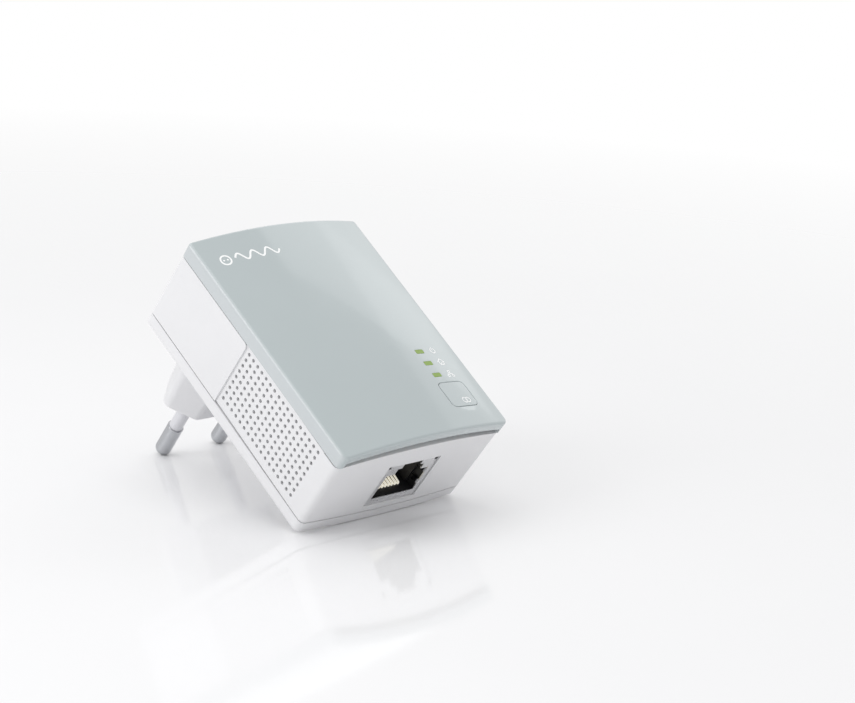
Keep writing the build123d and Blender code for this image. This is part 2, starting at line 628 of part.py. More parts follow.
def case_screws():
    """Self-tapping screws put in from the back."""
    head_top, seat, tip = CASE_SCREW_DEPTHS
    screws = []
    for x, height in column_places():
        head = rod(x, height, CASE_SCREW_HEAD, (head_top, seat))
        head = fillet(head.edges().sort_by(Axis.Y)[-1:], SCREW_ROUND)
        head = head - cross_recess(x, height, (THROUGH[0], head_top + SCREW_SLOT_DEEP))
        screws.append(head + rod(x, height, CASE_SCREW_SHANK, (seat - SLIVER, tip)))
    return screws


def board_screws():
    """Self-tapping screws that hold the main board on the columns."""
    top = MAIN_FACE + BOARD_SCREW_THICK
    screws = []
    for x, height in column_places():
        head = rod(x, height, BOARD_SCREW_HEAD, (MAIN_FACE, top))
        head = fillet(head.edges().sort_by(Axis.Y)[:1], SCREW_ROUND)
        head = head - cross_recess(x, height, (top - SCREW_SLOT_DEEP, THROUGH[1]))
        screws.append(head + rod(x, height, BOARD_SCREW_SHANK, (BOARD_SCREW_TIP, MAIN_FACE + SLIVER)))
    return screws


# ---------------------------------------------------------------- network socket
def notch_profile(mouth, roof, spread):
    """Opening seen from below: the plug's space with the stepped notch for its latch."""
    first, second = NOTCH_STEPS
    right = [
        (mouth, JACK_BED),
        (mouth, roof),
        (first[0] + spread, roof),
        (first[0] + spread, first[1]),
        (second[0] + spread, first[1]),
        (second[0] + spread, second[1]),
    ]
    left = [(-x, depth) for x, depth in reversed(right)]
    points = [(x, y_at(depth)) for x, depth in right + left]
    return make_face(Polyline(*points, close=True))


def socket_cutter(mouth, roof, spread, heights):
    """The opening's profile, run up into the socket."""
    profile = Pos(0, 0, z_at(heights[0])) * notch_profile(mouth, roof, spread)
    return extrude(profile, heights[1] - heights[0], dir=(0, 0, 1))


def contact_xs():
    return [(index - (CONTACTS - 1) / 2) * CONTACT_PITCH for index in range(CONTACTS)]


def jack_contacts():
    """Eight spring wires, from the board to the plug's space."""
    wires = []
    for x in contact_xs():
        points = [
            (x, y_at(MAIN_FACE + CONTACT_TAIL), z_at(CONTACT_RISE)),
            (x, y_at(CONTACT_LANE), z_at(CONTACT_RISE)),
            (x, y_at(CONTACT_LANE), z_at(CONTACT_LOW)),
            (x, y_at(CONTACT_END[0]), z_at(CONTACT_END[1])),
        ]
        path = FilletPolyline(*points, radius=CONTACT_BEND)
        section = Plane(origin=path @ 0, z_dir=path % 0) * Circle(CONTACT_RADIUS)
        wires.append(sweep(section, path=path))
    return wires


def jack_housing():
    """Black insulator with the plug's space, the latch notch and a lane for each contact."""
    inset = SHEET + SLIVER
    depths = (JACK_DEPTHS[0] + inset, JACK_DEPTHS[1] - inset)
    xs = (-JACK_HALF + inset, JACK_HALF - inset)
    body = block(xs, depths, (JACK_HEIGHTS[0] + inset, JACK_REAR))
    rear = JACK_REAR - JACK_REAR_WALL
    body = body - socket_cutter(JACK_CAVITY, JACK_ROOF - JACK_PLAY, -JACK_PLAY, (BELOW, rear))
    mouth = JACK_MOUTH + SPRING_THICK
    body = body - socket_cutter(mouth, JACK_ROOF, 0, (BELOW, SPRING_REACH + SPRING_THICK + JACK_PLAY))
    lane = (CONTACT_LANE - CONTACT_RADIUS - JACK_PLAY, JACK_BED + JACK_PLAY)
    heights = (CONTACT_LOW - 2 * LANE_HALF, JACK_REAR + 1)
    for x in contact_xs():
        body = body - block((x - LANE_HALF, x + LANE_HALF), lane, heights)
    return body


def shield_springs():
    """Earthing fingers, bent inwards from the opening's edges."""
    low = z_at(JACK_HEIGHTS[0])
    top = z_at(SPRING_REACH)
    edge = JACK_HALF - SHEET / 2
    touch = JACK_CAVITY - SPRING_THICK / 2
    springs = []
    for side in (-1, 1):
        finger = Polyline(
            (side * edge, low),
            (side * JACK_MOUTH, low),
            (side * touch, top - 2 * SPRING_THICK),
            (side * touch, top),
            (side * (touch + SPRING_THICK), top),
            (side * (JACK_MOUTH + SPRING_THICK / 2), low + SHEET),
            (side * edge, low + SHEET),
            close=True,
        )
        for depth in SPRING_DEPTHS:
            plane = Plane(origin=(0, y_at(depth), 0), x_dir=(1, 0, 0), z_dir=(0, -1, 0))
            springs.append(extrude(plane * make_face(finger), SPRING_WIDTH))
    return springs


def jack_shield():
    """Folded metal shield with the stepped opening in its front face."""
    outer = block((-JACK_HALF, JACK_HALF), JACK_DEPTHS, JACK_HEIGHTS)
    inner = block(
        (-JACK_HALF + SHEET, JACK_HALF - SHEET),
        (JACK_DEPTHS[0] + SHEET, JACK_DEPTHS[1] - SHEET),
        (JACK_HEIGHTS[0] + SHEET, JACK_HEIGHTS[1] - SHEET),
    )
    shield = outer - inner
    shield = shield - socket_cutter(JACK_MOUTH, JACK_ROOF, 0, (BELOW, JACK_HEIGHTS[0] + 2 * SHEET))
    front = JACK_DEPTHS[1]
    shield = shield - block((-WIRE_GAP_HALF, WIRE_GAP_HALF), (front - 1, front + 1), WIRE_GAP_HEIGHTS)
    for side in (-1, 1):
        relief_x = side * (JACK_HALF - SHEET - RELIEF / 2)
        shield = shield - around(relief_x, 0, RELIEF, 1, (front - SHEET - RELIEF, front + 1))
        leg_xs = sorted((side * JACK_HALF, side * (JACK_HALF - SHEET)))
        leg_depths = (front - SHEET, MAIN_FACE + CONTACT_TAIL)
        shield = shield + block(leg_xs, leg_depths, SHIELD_LEG_HEIGHTS)
    return shield + shield_springs()


# ---------------------------------------------------------------- boards
def link_xs():
    return [LINK_X + (index - (LINK_PINS - 1) / 2) * LINK_PITCH for index in range(LINK_PINS)]


def power_board():
    """Board at the back with the mains side, notched round the upper columns."""
    depths = (POWER_BOARD_DEPTH, POWER_FACE)
    board = plate(0, POWER_BOARD_MIDDLE, POWER_BOARD_SIZE, BOARD_CORNER, depths)
    for x, height in column_places():
        if height > PANEL_HEIGHT:
            side = 1 if x > 0 else -1
            xs = sorted((x - side * POWER_BOARD_NOTCH, side * HALF_WIDTH))
            heights = (height - POWER_BOARD_NOTCH, height + POWER_BOARD_NOTCH)
            board = board - block(xs, THROUGH, heights)
    for side in (-1, 1):
        board = board - along_pin(side, CORE_RADIUS + THREAD_PLAY, PIN_END, 0)
    for x in link_xs():
        board = board - rod(x, LINK_HEIGHT, LINK_HOLE, THROUGH)
    return board


def main_board():
    """Board behind the front cover with the network side, the lights and the switch."""
    depths = (MAIN_BOARD_DEPTH, MAIN_FACE)
    board = plate(0, MAIN_BOARD_MIDDLE, MAIN_BOARD_SIZE, BOARD_CORNER, depths)
    for x, height in column_places():
        board = board - rod(x, height, BOARD_SCREW_SHANK + CLEAR, THROUGH)
    for x in link_xs():
        board = board - rod(x, LINK_HEIGHT, LINK_HOLE, THROUGH)
    for x in contact_xs():
        board = board - rod(x, CONTACT_RISE, CONTACT_RADIUS + CLEAR, THROUGH)
    leg_height = sum(SHIELD_LEG_HEIGHTS) / 2
    leg_width = SHIELD_LEG_HEIGHTS[1] - SHIELD_LEG_HEIGHTS[0]
    for side in (-1, 1):
        slot_x = side * (JACK_HALF - SHEET / 2)
        board = board - around(slot_x, leg_height, SHEET + 2 * CLEAR, leg_width + 2 * CLEAR, THROUGH)
    return board


def link_strip(depths, hole, hole_depths):
    """Plastic strip round the row of link pins."""
    strip = around(LINK_X, LINK_HEIGHT, LINK_PINS * LINK_PITCH, LINK_STRIP, depths)
    for x in link_xs():
        strip = strip - around(x, LINK_HEIGHT, hole, hole, hole_depths)
    return strip


def link_header():
    """Strip on the power board that holds the link pins."""
    return link_strip((POWER_FACE, POWER_FACE + LINK_STRIP), LINK_PIN + THREAD_PLAY, THROUGH)


def link_pins():
    depths = (POWER_BOARD_DEPTH - PIN_TAIL, MAIN_BOARD_DEPTH - 1.0)
    return [around(x, LINK_HEIGHT, LINK_PIN, LINK_PIN, depths) for x in link_xs()]


def link_socket():
    """Strip on the main board that the link pins plug into."""
    depths = (MAIN_BOARD_DEPTH - LINK_SOCKET, MAIN_BOARD_DEPTH)
    return link_strip(depths, LINK_PIN + HOOK_PLAY, (THROUGH[0], MAIN_BOARD_DEPTH - SHEET))


def insulating_sheet():
    """Thin sheet between the mains parts and the main board."""
    depths = (MAIN_BOARD_DEPTH - SHEET_DEPTHS[1], MAIN_BOARD_DEPTH - SHEET_DEPTHS[0])
    return plate(0, SHEET_MIDDLE, SHEET_SIZE, BOARD_CORNER, depths)


# ---------------------------------------------------------------- parts on the main board
def front_chip(x, height, width, tall, thick):
    """Flat chip on the main board's front face, with a bevelled upper edge."""
    chip = around(x, height, width, tall, (MAIN_FACE, MAIN_FACE + thick))
    return chamfer(chip.faces().sort_by(Axis.Y)[0].edges(), CHIP_BEVEL)


def thermal_pad():
    depths = (MAIN_FACE + CHIP_THICK, MAIN_FACE + CHIP_THICK + PAD_THICK)
    return around(*CHIP_PLACE, CHIP_SIZE, CHIP_SIZE, depths)


def heat_sink():
    """Finned aluminium plate on the main chip."""
    foot = MAIN_FACE + CHIP_THICK + PAD_THICK
    x, height = CHIP_PLACE
    sink = around(x, height, SINK_SIZE, SINK_SIZE, (foot, foot + SINK_BASE))
    pitch = (SINK_SIZE - SINK_BASE) / (SINK_FINS - 1)
    for index in range(SINK_FINS):
        fin_x = x + (index - (SINK_FINS - 1) / 2) * pitch
        fin_depths = (foot + SINK_BASE - SLIVER, foot + SINK_HIGH)
        sink = sink + around(fin_x, height, SINK_BASE, SINK_SIZE, fin_depths)
    return sink


def main_board_chips():
    """Chips on the main board's front face, by name."""
    return {
        "powerline_chip": front_chip(*CHIP_PLACE, width=CHIP_SIZE, tall=CHIP_SIZE, thick=CHIP_THICK),
        "memory_chip": front_chip(x=13.0, height=45.0, width=8.0, tall=12.5, thick=1.1),
        "flash_chip": front_chip(x=13.0, height=32.5, width=5.2, tall=5.2, thick=1.7),
        "ethernet_phy": front_chip(x=-4.0, height=24.0, width=6.0, tall=6.0, thick=0.9),
        "line_driver_chip": front_chip(x=-16.5, height=20.0, width=5.0, tall=5.0, thick=0.9),
        "crystal": front_chip(x=-16.5, height=29.0, width=5.0, tall=3.2, thick=1.1),
    }


def power_inductors():
    """Square shielded coils of the low-voltage supplies, each with a shallow round dish."""
    top = MAIN_FACE + INDUCTOR_THICK
    size = (INDUCTOR_SIZE, INDUCTOR_SIZE)
    coils = []
    for height in INDUCTOR_HEIGHTS:
        body = plate(INDUCTOR_X, height, size, BOARD_CORNER / 2, (MAIN_FACE, top))
        coils.append(body - rod(INDUCTOR_X, height, INDUCTOR_SIZE / 3, (top - 0.2, top + 1)))
    return coils


def status_leds():
    """One small light under each foot of the light guide."""
    depths = (MAIN_FACE, MAIN_FACE + LED_THICK)
    return [around(WINDOW_X, height, *LED_SIZE, depths) for height in window_heights()]


def switch_base():
    """Switch body with the well that its plunger slides in."""
    body = around(BUTTON_X, BUTTON_HEIGHT, SWITCH, SWITCH, (MAIN_FACE, SWITCH_TOP - SWITCH_SHEET))
    well = (MAIN_FACE + LED_THICK, THROUGH[1])
    return body - rod(BUTTON_X, BUTTON_HEIGHT, PLUNGER_RADII[1] + PLUNGER_PLAY, well)


def switch_cover():
    """Metal plate on top of the switch."""
    cover = around(BUTTON_X, BUTTON_HEIGHT, SWITCH, SWITCH, (SWITCH_TOP - SWITCH_SHEET, SWITCH_TOP))
    return cover - rod(BUTTON_X, BUTTON_HEIGHT, PLUNGER_RADII[0] + PLUNGER_PLAY / 2, THROUGH)


def switch_plunger():
    """Plunger with a foot that keeps it under the cover plate."""
    stem = rod(BUTTON_X, BUTTON_HEIGHT, PLUNGER_RADII[0], PLUNGER_DEPTHS)
    return stem + rod(BUTTON_X, BUTTON_HEIGHT, PLUNGER_RADII[1], (PLUNGER_DEPTHS[0], PLUNGER_FOOT))


def ethernet_transformer():
    """Isolating transformer of the network lines, on the back of the main board."""
    width, tall, thick = LINE_TRANSFORMER_SIZE
    x, height = LINE_TRANSFORMER
    body = around(x, height, width, tall, (MAIN_BOARD_DEPTH - thick, MAIN_BOARD_DEPTH))
    return chamfer(body.faces().sort_by(Axis.Y)[-1].edges(), 2 * CHIP_BEVEL)


def coupling_bobbin():
    """Bobbin of the transformer that couples the signal to the mains."""
    core, _, flange = COUPLER_RADII
    end = MAIN_BOARD_DEPTH - COUPLER_HIGH
    foot = MAIN_BOARD_DEPTH - COUPLER_FLANGE
    bobbin = around(*COUPLER, 2 * flange, 2 * flange, (foot, MAIN_BOARD_DEPTH))
    bobbin = bobbin + rod(*COUPLER, core, (end, foot + SLIVER))
    return bobbin + rod(*COUPLER, flange, (end, end + COUPLER_FLANGE))


def coupling_winding():
    core, winding, _ = COUPLER_RADII
    end = MAIN_BOARD_DEPTH - COUPLER_HIGH + COUPLER_FLANGE
    foot = MAIN_BOARD_DEPTH - COUPLER_FLANGE
    coil = rod(*COUPLER, winding, (end + HOOK_PLAY, foot - HOOK_PLAY))
    return coil - rod(*COUPLER, core + SLIVER, THROUGH)


# ---------------------------------------------------------------- parts on the power board
def standing_can(x, height, radius, high):
    """Round capacitor with a rolled groove near its foot."""
    can = rod(x, height, radius, (POWER_FACE, POWER_FACE + high))
    ends = can.edges().sort_by(Axis.Y)
    can = fillet([ends[0], ends[-1]], CAN_ROUND)
    ring = Pos(x, y_at(POWER_FACE + CAN_GROOVE), z_at(height)) * Rot(90, 0, 0) * Torus(radius, CAN_ROLL)
    return can - ring


def standing_disc(x, height, radius, thick):
    """Disc that stands on edge on the power board."""
    middle = Pos(x, y_at(POWER_FACE + radius + DISC_LIFT), z_at(height))
    disc = middle * Cylinder(radius, thick)
    return fillet(disc.edges().filter_by(GeomType.CIRCLE), thick / 3)


def rounded_box(x, height, width, tall, high):
    """Moulded box that stands on the power board."""
    return fillet(around(x, height, width, tall, (POWER_FACE, POWER_FACE + high)).edges(), BOX_ROUND)


def off_board(low, high):
    """Depths of something that stands off the power board by low to high."""
    return (POWER_FACE + low, POWER_FACE + high)


def choke_ring(inner, outer, stretch):
    """Ring round the choke's axis, stretched beyond the core's faces."""
    depths = off_board(CHOKE_RING[0] - stretch, CHOKE_RING[1] + stretch)
    return rod(*CHOKE, outer, depths) - rod(*CHOKE, inner, THROUGH)


def line_choke_core():
    return choke_ring(*CHOKE_RADII, 0)


def line_choke_windings():
    """Two coils, one on each half of the ring."""
    inner, outer = CHOKE_RADII
    coils = choke_ring(inner - CHOKE_WIRE, outer + CHOKE_WIRE, CHOKE_WIRE)
    coils = coils - choke_ring(inner - THREAD_PLAY, outer + THREAD_PLAY, THREAD_PLAY)
    return coils - around(*CHOKE, CHOKE_GAP, 4 * outer, THROUGH)


def transformer_core():
    """Ferrite core: two end plates, two outer legs and a middle leg."""
    low, high = CORE_HEIGHTS
    width, tall = CORE_SIZE
    core = around(*TRANSFORMER, width, tall, off_board(low, low + CORE_PLATE))
    core = core + around(*TRANSFORMER, width, tall, off_board(high - CORE_PLATE, high))
    x, height = TRANSFORMER
    outer_x = (width - CORE_PLATE) / 2
    for leg_x, leg in ((-outer_x, CORE_PLATE), (0, CORE_LEG), (outer_x, CORE_PLATE)):
        core = core + around(x + leg_x, height, leg, tall, off_board(low, high))
    return core


def bobbin_span(inset):
    """Depths between the core's plates, less a gap and an inset at each end."""
    low, high = CORE_HEIGHTS
    gap = CORE_PLATE + HOOK_PLAY + inset
    return off_board(low + gap, high - gap)


def transformer_bobbin():
    """Bobbin on the middle leg, with feet that carry it on the board."""
    x, height = TRANSFORMER
    width, tall = BOBBIN_SIZE
    back, front = bobbin_span(0)
    bobbin = around(x, height, width, tall, (back, back + BOBBIN_FLANGE))
    bobbin = bobbin + around(x, height, width, tall, (front - BOBBIN_FLANGE, front))
    bobbin = bobbin + around(x, height, *BOBBIN_TUBE, (back, front))
    for end in (-1, 1):
        foot_height = height + end * (tall - BOBBIN_FOOT) / 2
        foot_depths = (POWER_FACE, back + SLIVER)
        bobbin = bobbin + around(x, foot_height, width, BOBBIN_FOOT, foot_depths)
    return bobbin - around(x, height, CORE_LEG + HOOK_PLAY, CORE_SIZE[1] + HOOK_PLAY, THROUGH)


def transformer_winding():
    width, tall = [side - 2 * HOOK_PLAY for side in BOBBIN_SIZE]
    depths = bobbin_span(BOBBIN_FLANGE + HOOK_PLAY)
    coil = around(*TRANSFORMER, width, tall, depths)
    coil = fillet(coil.edges().filter_by(Axis.Y), BOBBIN_FOOT)
    hole = [side + HOOK_PLAY for side in BOBBIN_TUBE]
    return coil - around(*TRANSFORMER, *hole, THROUGH)


def power_board_parts():
    """Parts on the power board, by name, apart from the choke and the transformer."""
    bulk = [
        standing_can(x=-12.6, height=37.4, radius=4.0, high=12.0),
        standing_can(x=-11.4, height=28.4, radius=4.0, high=12.0),
    ]
    return {
        "fuse": rounded_box(x=-14.6, height=46.5, width=4.0, tall=8.5, high=7.8),
        "surge_varistor": standing_disc(x=0.0, height=57.0, radius=4.4, thick=3.6),
        "mains_filter_capacitor": rounded_box(x=0.0, height=48.0, width=13.0, tall=6.0, high=11.0),
        "bulk_capacitors": bulk,
        "output_capacitor": standing_can(x=12.4, height=30.4, radius=3.9, high=11.0),
        "safety_capacitor": standing_disc(x=-3.9, height=25.4, radius=3.3, thick=3.0),
        "optocoupler": rounded_box(x=3.4, height=25.9, width=6.4, tall=4.4, high=3.4),
        "bridge_rectifier": rounded_box(x=18.1, height=37.6, width=6.2, tall=7.6, high=2.4),
        "power_controller_chip": rounded_box(x=11.8, height=38.0, width=5.0, tall=5.8, high=1.6),
        "output_diode": rounded_box(x=-19.2, height=28.6, width=3.6, tall=2.6, high=2.2),
        "coupling_capacitor": rounded_box(x=-19.0, height=37.4, width=3.4, tall=8.0, high=7.0),
    }


# ---------------------------------------------------------------- assembly
def assembly():
    """Every piece by name."""
    pieces = {
        "front_cover": front_cover(),
        "main_housing": main_housing(),
        "back_cover": back_cover(),
        "pair_button": pair_button(),
        "light_guide": light_guide(),
        "rating_label": rating_label(),
        "case_screws": case_screws(),
        "board_screws": board_screws(),
        "left_mains_pin": mains_pin(-1),
        "right_mains_pin": mains_pin(1),
        "left_pin_sleeve": pin_sleeve(-1),
        "right_pin_sleeve": pin_sleeve(1),
        "jack_shield": jack_shield(),
        "jack_insulator": jack_housing(),
        "jack_contacts": jack_contacts(),
        "main_board": main_board(),
        "power_board": power_board(),
        "link_header": link_header(),
        "link_pins": link_pins(),
        "link_socket": link_socket(),
        "insulating_sheet": insulating_sheet(),
        "thermal_pad": thermal_pad(),
        "heat_sink": heat_sink(),
        "power_inductors": power_inductors(),
        "status_leds": status_leds(),
        "switch_base": switch_base(),
        "switch_cover": switch_cover(),
        "switch_plunger": switch_plunger(),
        "ethernet_transformer": ethernet_transformer(),
        "coupling_bobbin": coupling_bobbin(),
        "coupling_winding": coupling_winding(),
        "line_choke_core": line_choke_core(),
        "line_choke_windings": line_choke_windings(),
        "transformer_core": transformer_core(),
        "transformer_bobbin": transformer_bobbin(),
        "transformer_winding": transformer_winding(),
    }
    return pieces | main_board_chips() | power_board_parts()


for name, piece in assembly().items():
    solids = piece if isinstance(piece, list) else [piece]
    save(Compound(children=[solid for item in solids for solid in item.solids()]), name)
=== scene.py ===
import math

import bmesh
import bpy
from mathutils import Matrix, Vector
from mathutils.geometry import delaunay_2d_cdt


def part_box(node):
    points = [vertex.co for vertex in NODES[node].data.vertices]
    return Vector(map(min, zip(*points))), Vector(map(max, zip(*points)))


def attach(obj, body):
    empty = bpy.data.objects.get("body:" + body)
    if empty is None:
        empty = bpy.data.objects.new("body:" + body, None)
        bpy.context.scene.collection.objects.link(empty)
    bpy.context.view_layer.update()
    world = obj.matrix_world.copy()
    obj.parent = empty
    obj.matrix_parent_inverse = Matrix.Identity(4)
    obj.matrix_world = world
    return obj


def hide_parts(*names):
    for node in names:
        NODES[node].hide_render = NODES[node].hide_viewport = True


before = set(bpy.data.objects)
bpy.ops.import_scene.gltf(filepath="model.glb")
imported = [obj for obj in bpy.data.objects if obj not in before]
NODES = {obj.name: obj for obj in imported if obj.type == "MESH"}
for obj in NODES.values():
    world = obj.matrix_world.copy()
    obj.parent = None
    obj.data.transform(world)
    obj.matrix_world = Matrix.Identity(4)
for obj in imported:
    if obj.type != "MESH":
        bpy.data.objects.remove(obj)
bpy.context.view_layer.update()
MM = 0.001

# ---------------------------------------------------------------- sizes, from the frame
COVER_LOW, COVER_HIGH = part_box("front_cover")
CASE_MIDDLE = (COVER_LOW + COVER_HIGH) / 2
CROWN_RISE = 2.7 * MM                   # how far the front bows out
CASE_HALF = 26.0 * MM
CROWN_RADIUS = (CASE_HALF**2 + CROWN_RISE**2) / (2 * CROWN_RISE)
APEX_Y = COVER_LOW.y
COVER_HALF = COVER_HIGH.x
COVER_BOW = 0.39 * MM                   # how far the cover's lower end bows out
COVER_BOTTOM = COVER_LOW.z + COVER_BOW
COVER_TOP = COVER_HIGH.z
COVER_CORNERS = (0.9 * MM, 1.6 * MM)    # radii of the upper and the lower corners
COVER_EDGE = 0.55 * MM                  # rounding between the front and the skirt
SKIRT = 3.77 * MM                       # depth of the cover's sides
END_SKIRT = 2.5 * MM                    # depth of the cover's lower end
COVER_WALL = 1.6 * MM
INNER_CORNERS = (0.4 * MM, 0.4 * MM)
BENT_HEIGHT = 2.0 * MM                  # height of the band that bows with the lower end


def crown_y(x):
    """Y of the bowed front at x."""
    return APEX_Y + CROWN_RADIUS - math.sqrt(CROWN_RADIUS**2 - x * x)


# ---------------------------------------------------------------- node helpers
class Shader:
    """A material under construction, with short calls for the nodes that the finishes share."""

    def __init__(self, name):
        self.material = bpy.data.materials.new(name)
        self.material.use_nodes = True
        self.tree = self.material.node_tree
        self.surface = self.tree.nodes["Principled BSDF"]
        self.place = self.node("ShaderNodeTexCoord").outputs["Object"]

    def node(self, kind, **values):
        """New node with some of its settings."""
        made = self.tree.nodes.new(kind)
        for key, value in values.items():
            setattr(made, key, value)
        return made

    def link(self, start, end):
        self.tree.links.new(start, end)

    def set(self, **values):
        """Even values of the surface, with underscores for the spaces in their names."""
        for key, value in values.items():
            self.surface.inputs[key.replace("_", " ")].default_value = value

    def noise(self, scale, detail=3.0, roughness=0.5, place=None):
        """Cloudy pattern from 0 to 1."""
        made = self.node("ShaderNodeTexNoise")
        made.inputs["Scale"].default_value = scale
        made.inputs["Detail"].default_value = detail
        made.inputs["Roughness"].default_value = roughness
        self.link(place or self.place, made.inputs["Vector"])
        return made.outputs["Fac"]

    def stretched(self, scale):
        """The object's coordinates with each one scaled by itself."""
        made = self.node("ShaderNodeMapping")
        made.inputs["Scale"].default_value = scale
        self.link(self.place, made.inputs["Vector"])
        return made.outputs["Vector"]

    def ramp(self, factor, low, high, start=0.3, end=0.7):
        """Value or colour that goes from low to high as the factor goes from start to end."""
        made = self.node("ShaderNodeMapRange")
        made.inputs["From Min"].default_value = start
        made.inputs["From Max"].default_value = end
        made.inputs["To Min"].default_value = low
        made.inputs["To Max"].default_value = high
        self.link(factor, made.inputs["Value"])
        return made.outputs["Result"]

    def blend(self, factor, first, second):
        """Colour between two others, each given by its channels or as a node's output."""
        made = self.node("ShaderNodeMix", data_type="RGBA")
        for name, colour in (("A", first), ("B", second)):
            if isinstance(colour, tuple):
                made.inputs[name].default_value = (*colour, 1)
            else:
                self.link(colour, made.inputs[name])
        self.link(factor, made.inputs["Factor"])
        return made.outputs["Result"]

    def part(self, vector, axis):
        """One component of a vector."""
        made = self.node("ShaderNodeSeparateXYZ")
        self.link(vector, made.inputs["Vector"])
        return made.outputs[axis]

    def bump(self, height, distance, strength=1.0):
        """Relief of the surface, with its full height in metres."""
        made = self.node("ShaderNodeBump")
        made.inputs["Distance"].default_value = distance
        made.inputs["Strength"].default_value = strength
        self.link(height, made.inputs["Height"])
        self.link(made.outputs["Normal"], self.surface.inputs["Normal"])

    def colour(self, output):
        self.link(output, self.surface.inputs["Base Color"])

    def roughness(self, output):
        self.link(output, self.surface.inputs["Roughness"])


# Scales of the finishes' patterns, in repeats per metre.
MOTTLE_SCALE = 60.0
BOARD_GLOSS_SCALE = 300.0
GLOSS_SCALE = 400.0
TRACK_SCALE = 420.0
METAL_SCALE = 900.0
LACQUER_GRAIN = 1500.0
GLOW_GRAIN = 2500.0
# Heights of their relief, in metres.
LACQUER_RELIEF = 0.000001
METAL_RELIEF = 0.000006
GLOW_RELIEF = 0.00001
TRACK_RELIEF = 0.00003
# What the patterns add to the roughness of plastics, and what they multiply in metals.
MOULDED_GLOSS = (-0.04, 0.05)
LACQUER_GLOSS = (-0.02, 0.02)
METAL_GLOSS = (0.75, 1.3)
# Darkest and lightest shade of a colour.
LACQUER_SHADES = (0.985, 1.015)
METAL_SHADES = (0.93, 1.05)
GLOW_SHADES = (0.9, 1.08)
# Lowest and highest roughness.
GLOW_GLOSS = (0.18, 0.26)
BOARD_GLOSS = (0.25, 0.4)
COAT_ROUGHNESS = 0.05
LACQUER_COAT = 0.4
SHEEN_NORMALS = (0.45, 0.95)     # sideways parts of the normal between which a side turns to the paler painted sheen
BOARD_GREEN = (0.012, 0.085, 0.035)
TRACK_GREEN = (0.03, 0.17, 0.07)
TRACK_EDGES = (0.04, 0.09)
# Near-black colour of the painted shade deep inside the network socket's shield.
PAINTED_SHADE_DARK = (0.02, 0.02, 0.022)


def tint(colour, amount):
    """Colour made lighter or darker."""
    return tuple(min(1.0, channel * amount) for channel in colour)


def shades(shader, factor, colour, amounts):
    """Colour that goes from one shade to another with a pattern."""
    return shader.blend(factor, *(tint(colour, amount) for amount in amounts))


def moulding(name, colour, rough, grain, depth, mottle=0.03, coat=0.0):
    """Moulded plastic: fine eroded grain, slow mottling of colour and gloss."""
    shader = Shader(name)
    slow = shader.noise(MOTTLE_SCALE, 2.0)
    shader.colour(shades(shader, slow, colour, (1 - mottle, 1 + mottle)))
    glosses = [rough + change for change in MOULDED_GLOSS]
    shader.roughness(shader.ramp(shader.noise(GLOSS_SCALE, 4.0), *glosses))
    shader.bump(shader.noise(grain, 2.0, 0.6), depth)
    if coat:
        shader.set(Coat_Weight=coat, Coat_Roughness=COAT_ROUGHNESS)
    return shader.material


def gloss_cover(name, colour, painted_sheen_colour, rough):
    """Lacquered cover plastic, with a painted sheen that makes its left and right sides paler."""
    shader = Shader(name)
    slow = shader.noise(MOTTLE_SCALE, 2.0)
    normal = shader.node("ShaderNodeTexCoord").outputs["Normal"]
    turned = shader.node("ShaderNodeMath", operation="ABSOLUTE")
    shader.link(shader.part(normal, "X"), turned.inputs[0])
    # Painted sheen: faces turned to the left or right are paler, as where light falls on them.
    painted_sheen_share = shader.ramp(turned.outputs["Value"], 0.0, 1.0, *SHEEN_NORMALS)
    front = shades(shader, slow, colour, LACQUER_SHADES)
    shader.colour(shader.blend(painted_sheen_share, front, painted_sheen_colour))
    glosses = [rough + change for change in LACQUER_GLOSS]
    shader.roughness(shader.ramp(shader.noise(GLOSS_SCALE, 4.0), *glosses))
    shader.bump(shader.noise(LACQUER_GRAIN, 2.0, 0.6), LACQUER_RELIEF)
    shader.set(Coat_Weight=LACQUER_COAT, Coat_Roughness=COAT_ROUGHNESS)
    return shader.material


def metal(name, colour, rough, streak):
    """Metallic shader with fine streaks, and its plated colour, not joined yet."""
    shader = Shader(name)
    streaks = shader.noise(METAL_SCALE, 5.0, 0.6, shader.stretched(streak))
    shader.roughness(shader.ramp(streaks, *(rough * change for change in METAL_GLOSS)))
    shader.bump(streaks, METAL_RELIEF, 0.6)
    shader.set(Metallic=1.0)
    return shader, shades(shader, streaks, colour, METAL_SHADES)


def plated_metal(name, colour, rough, streak=(1, 1, 1)):
    """Plated or rolled metal with fine streaks along one way."""
    shader, plated = metal(name, colour, rough, streak)
    shader.colour(plated)
    return shader.material


def metal_with_painted_shade(name, colour, rough, mouth, reach):
    """Plated metal box with painted shade: it darkens in its depth, from the mouth's level upwards."""
    shader, plated = metal(name, colour, rough, (1, 1, 1))
    # Painted shade: above the mouth's level the colour darkens to near black, as if in shadow.
    depth = shader.ramp(shader.part(shader.place, "Z"), 0.0, 1.0, mouth, mouth + reach)
    shader.colour(shader.blend(depth, plated, PAINTED_SHADE_DARK))
    return shader.material


def glowing(name, colour, glow, strength):
    """Glossy finish with a faint, even painted glow."""
    shader = Shader(name)
    slow = shader.noise(METAL_SCALE, 3.0)
    shader.colour(shades(shader, slow, colour, GLOW_SHADES))
    shader.roughness(shader.ramp(slow, *GLOW_GLOSS))
    shader.bump(shader.noise(GLOW_GRAIN, 2.0), GLOW_RELIEF, 0.5)
    # Painted glow: the emission stands in for light; the part is no lamp.
    shader.set(Emission_Color=(*glow, 1), Emission_Strength=strength)
    return shader.material


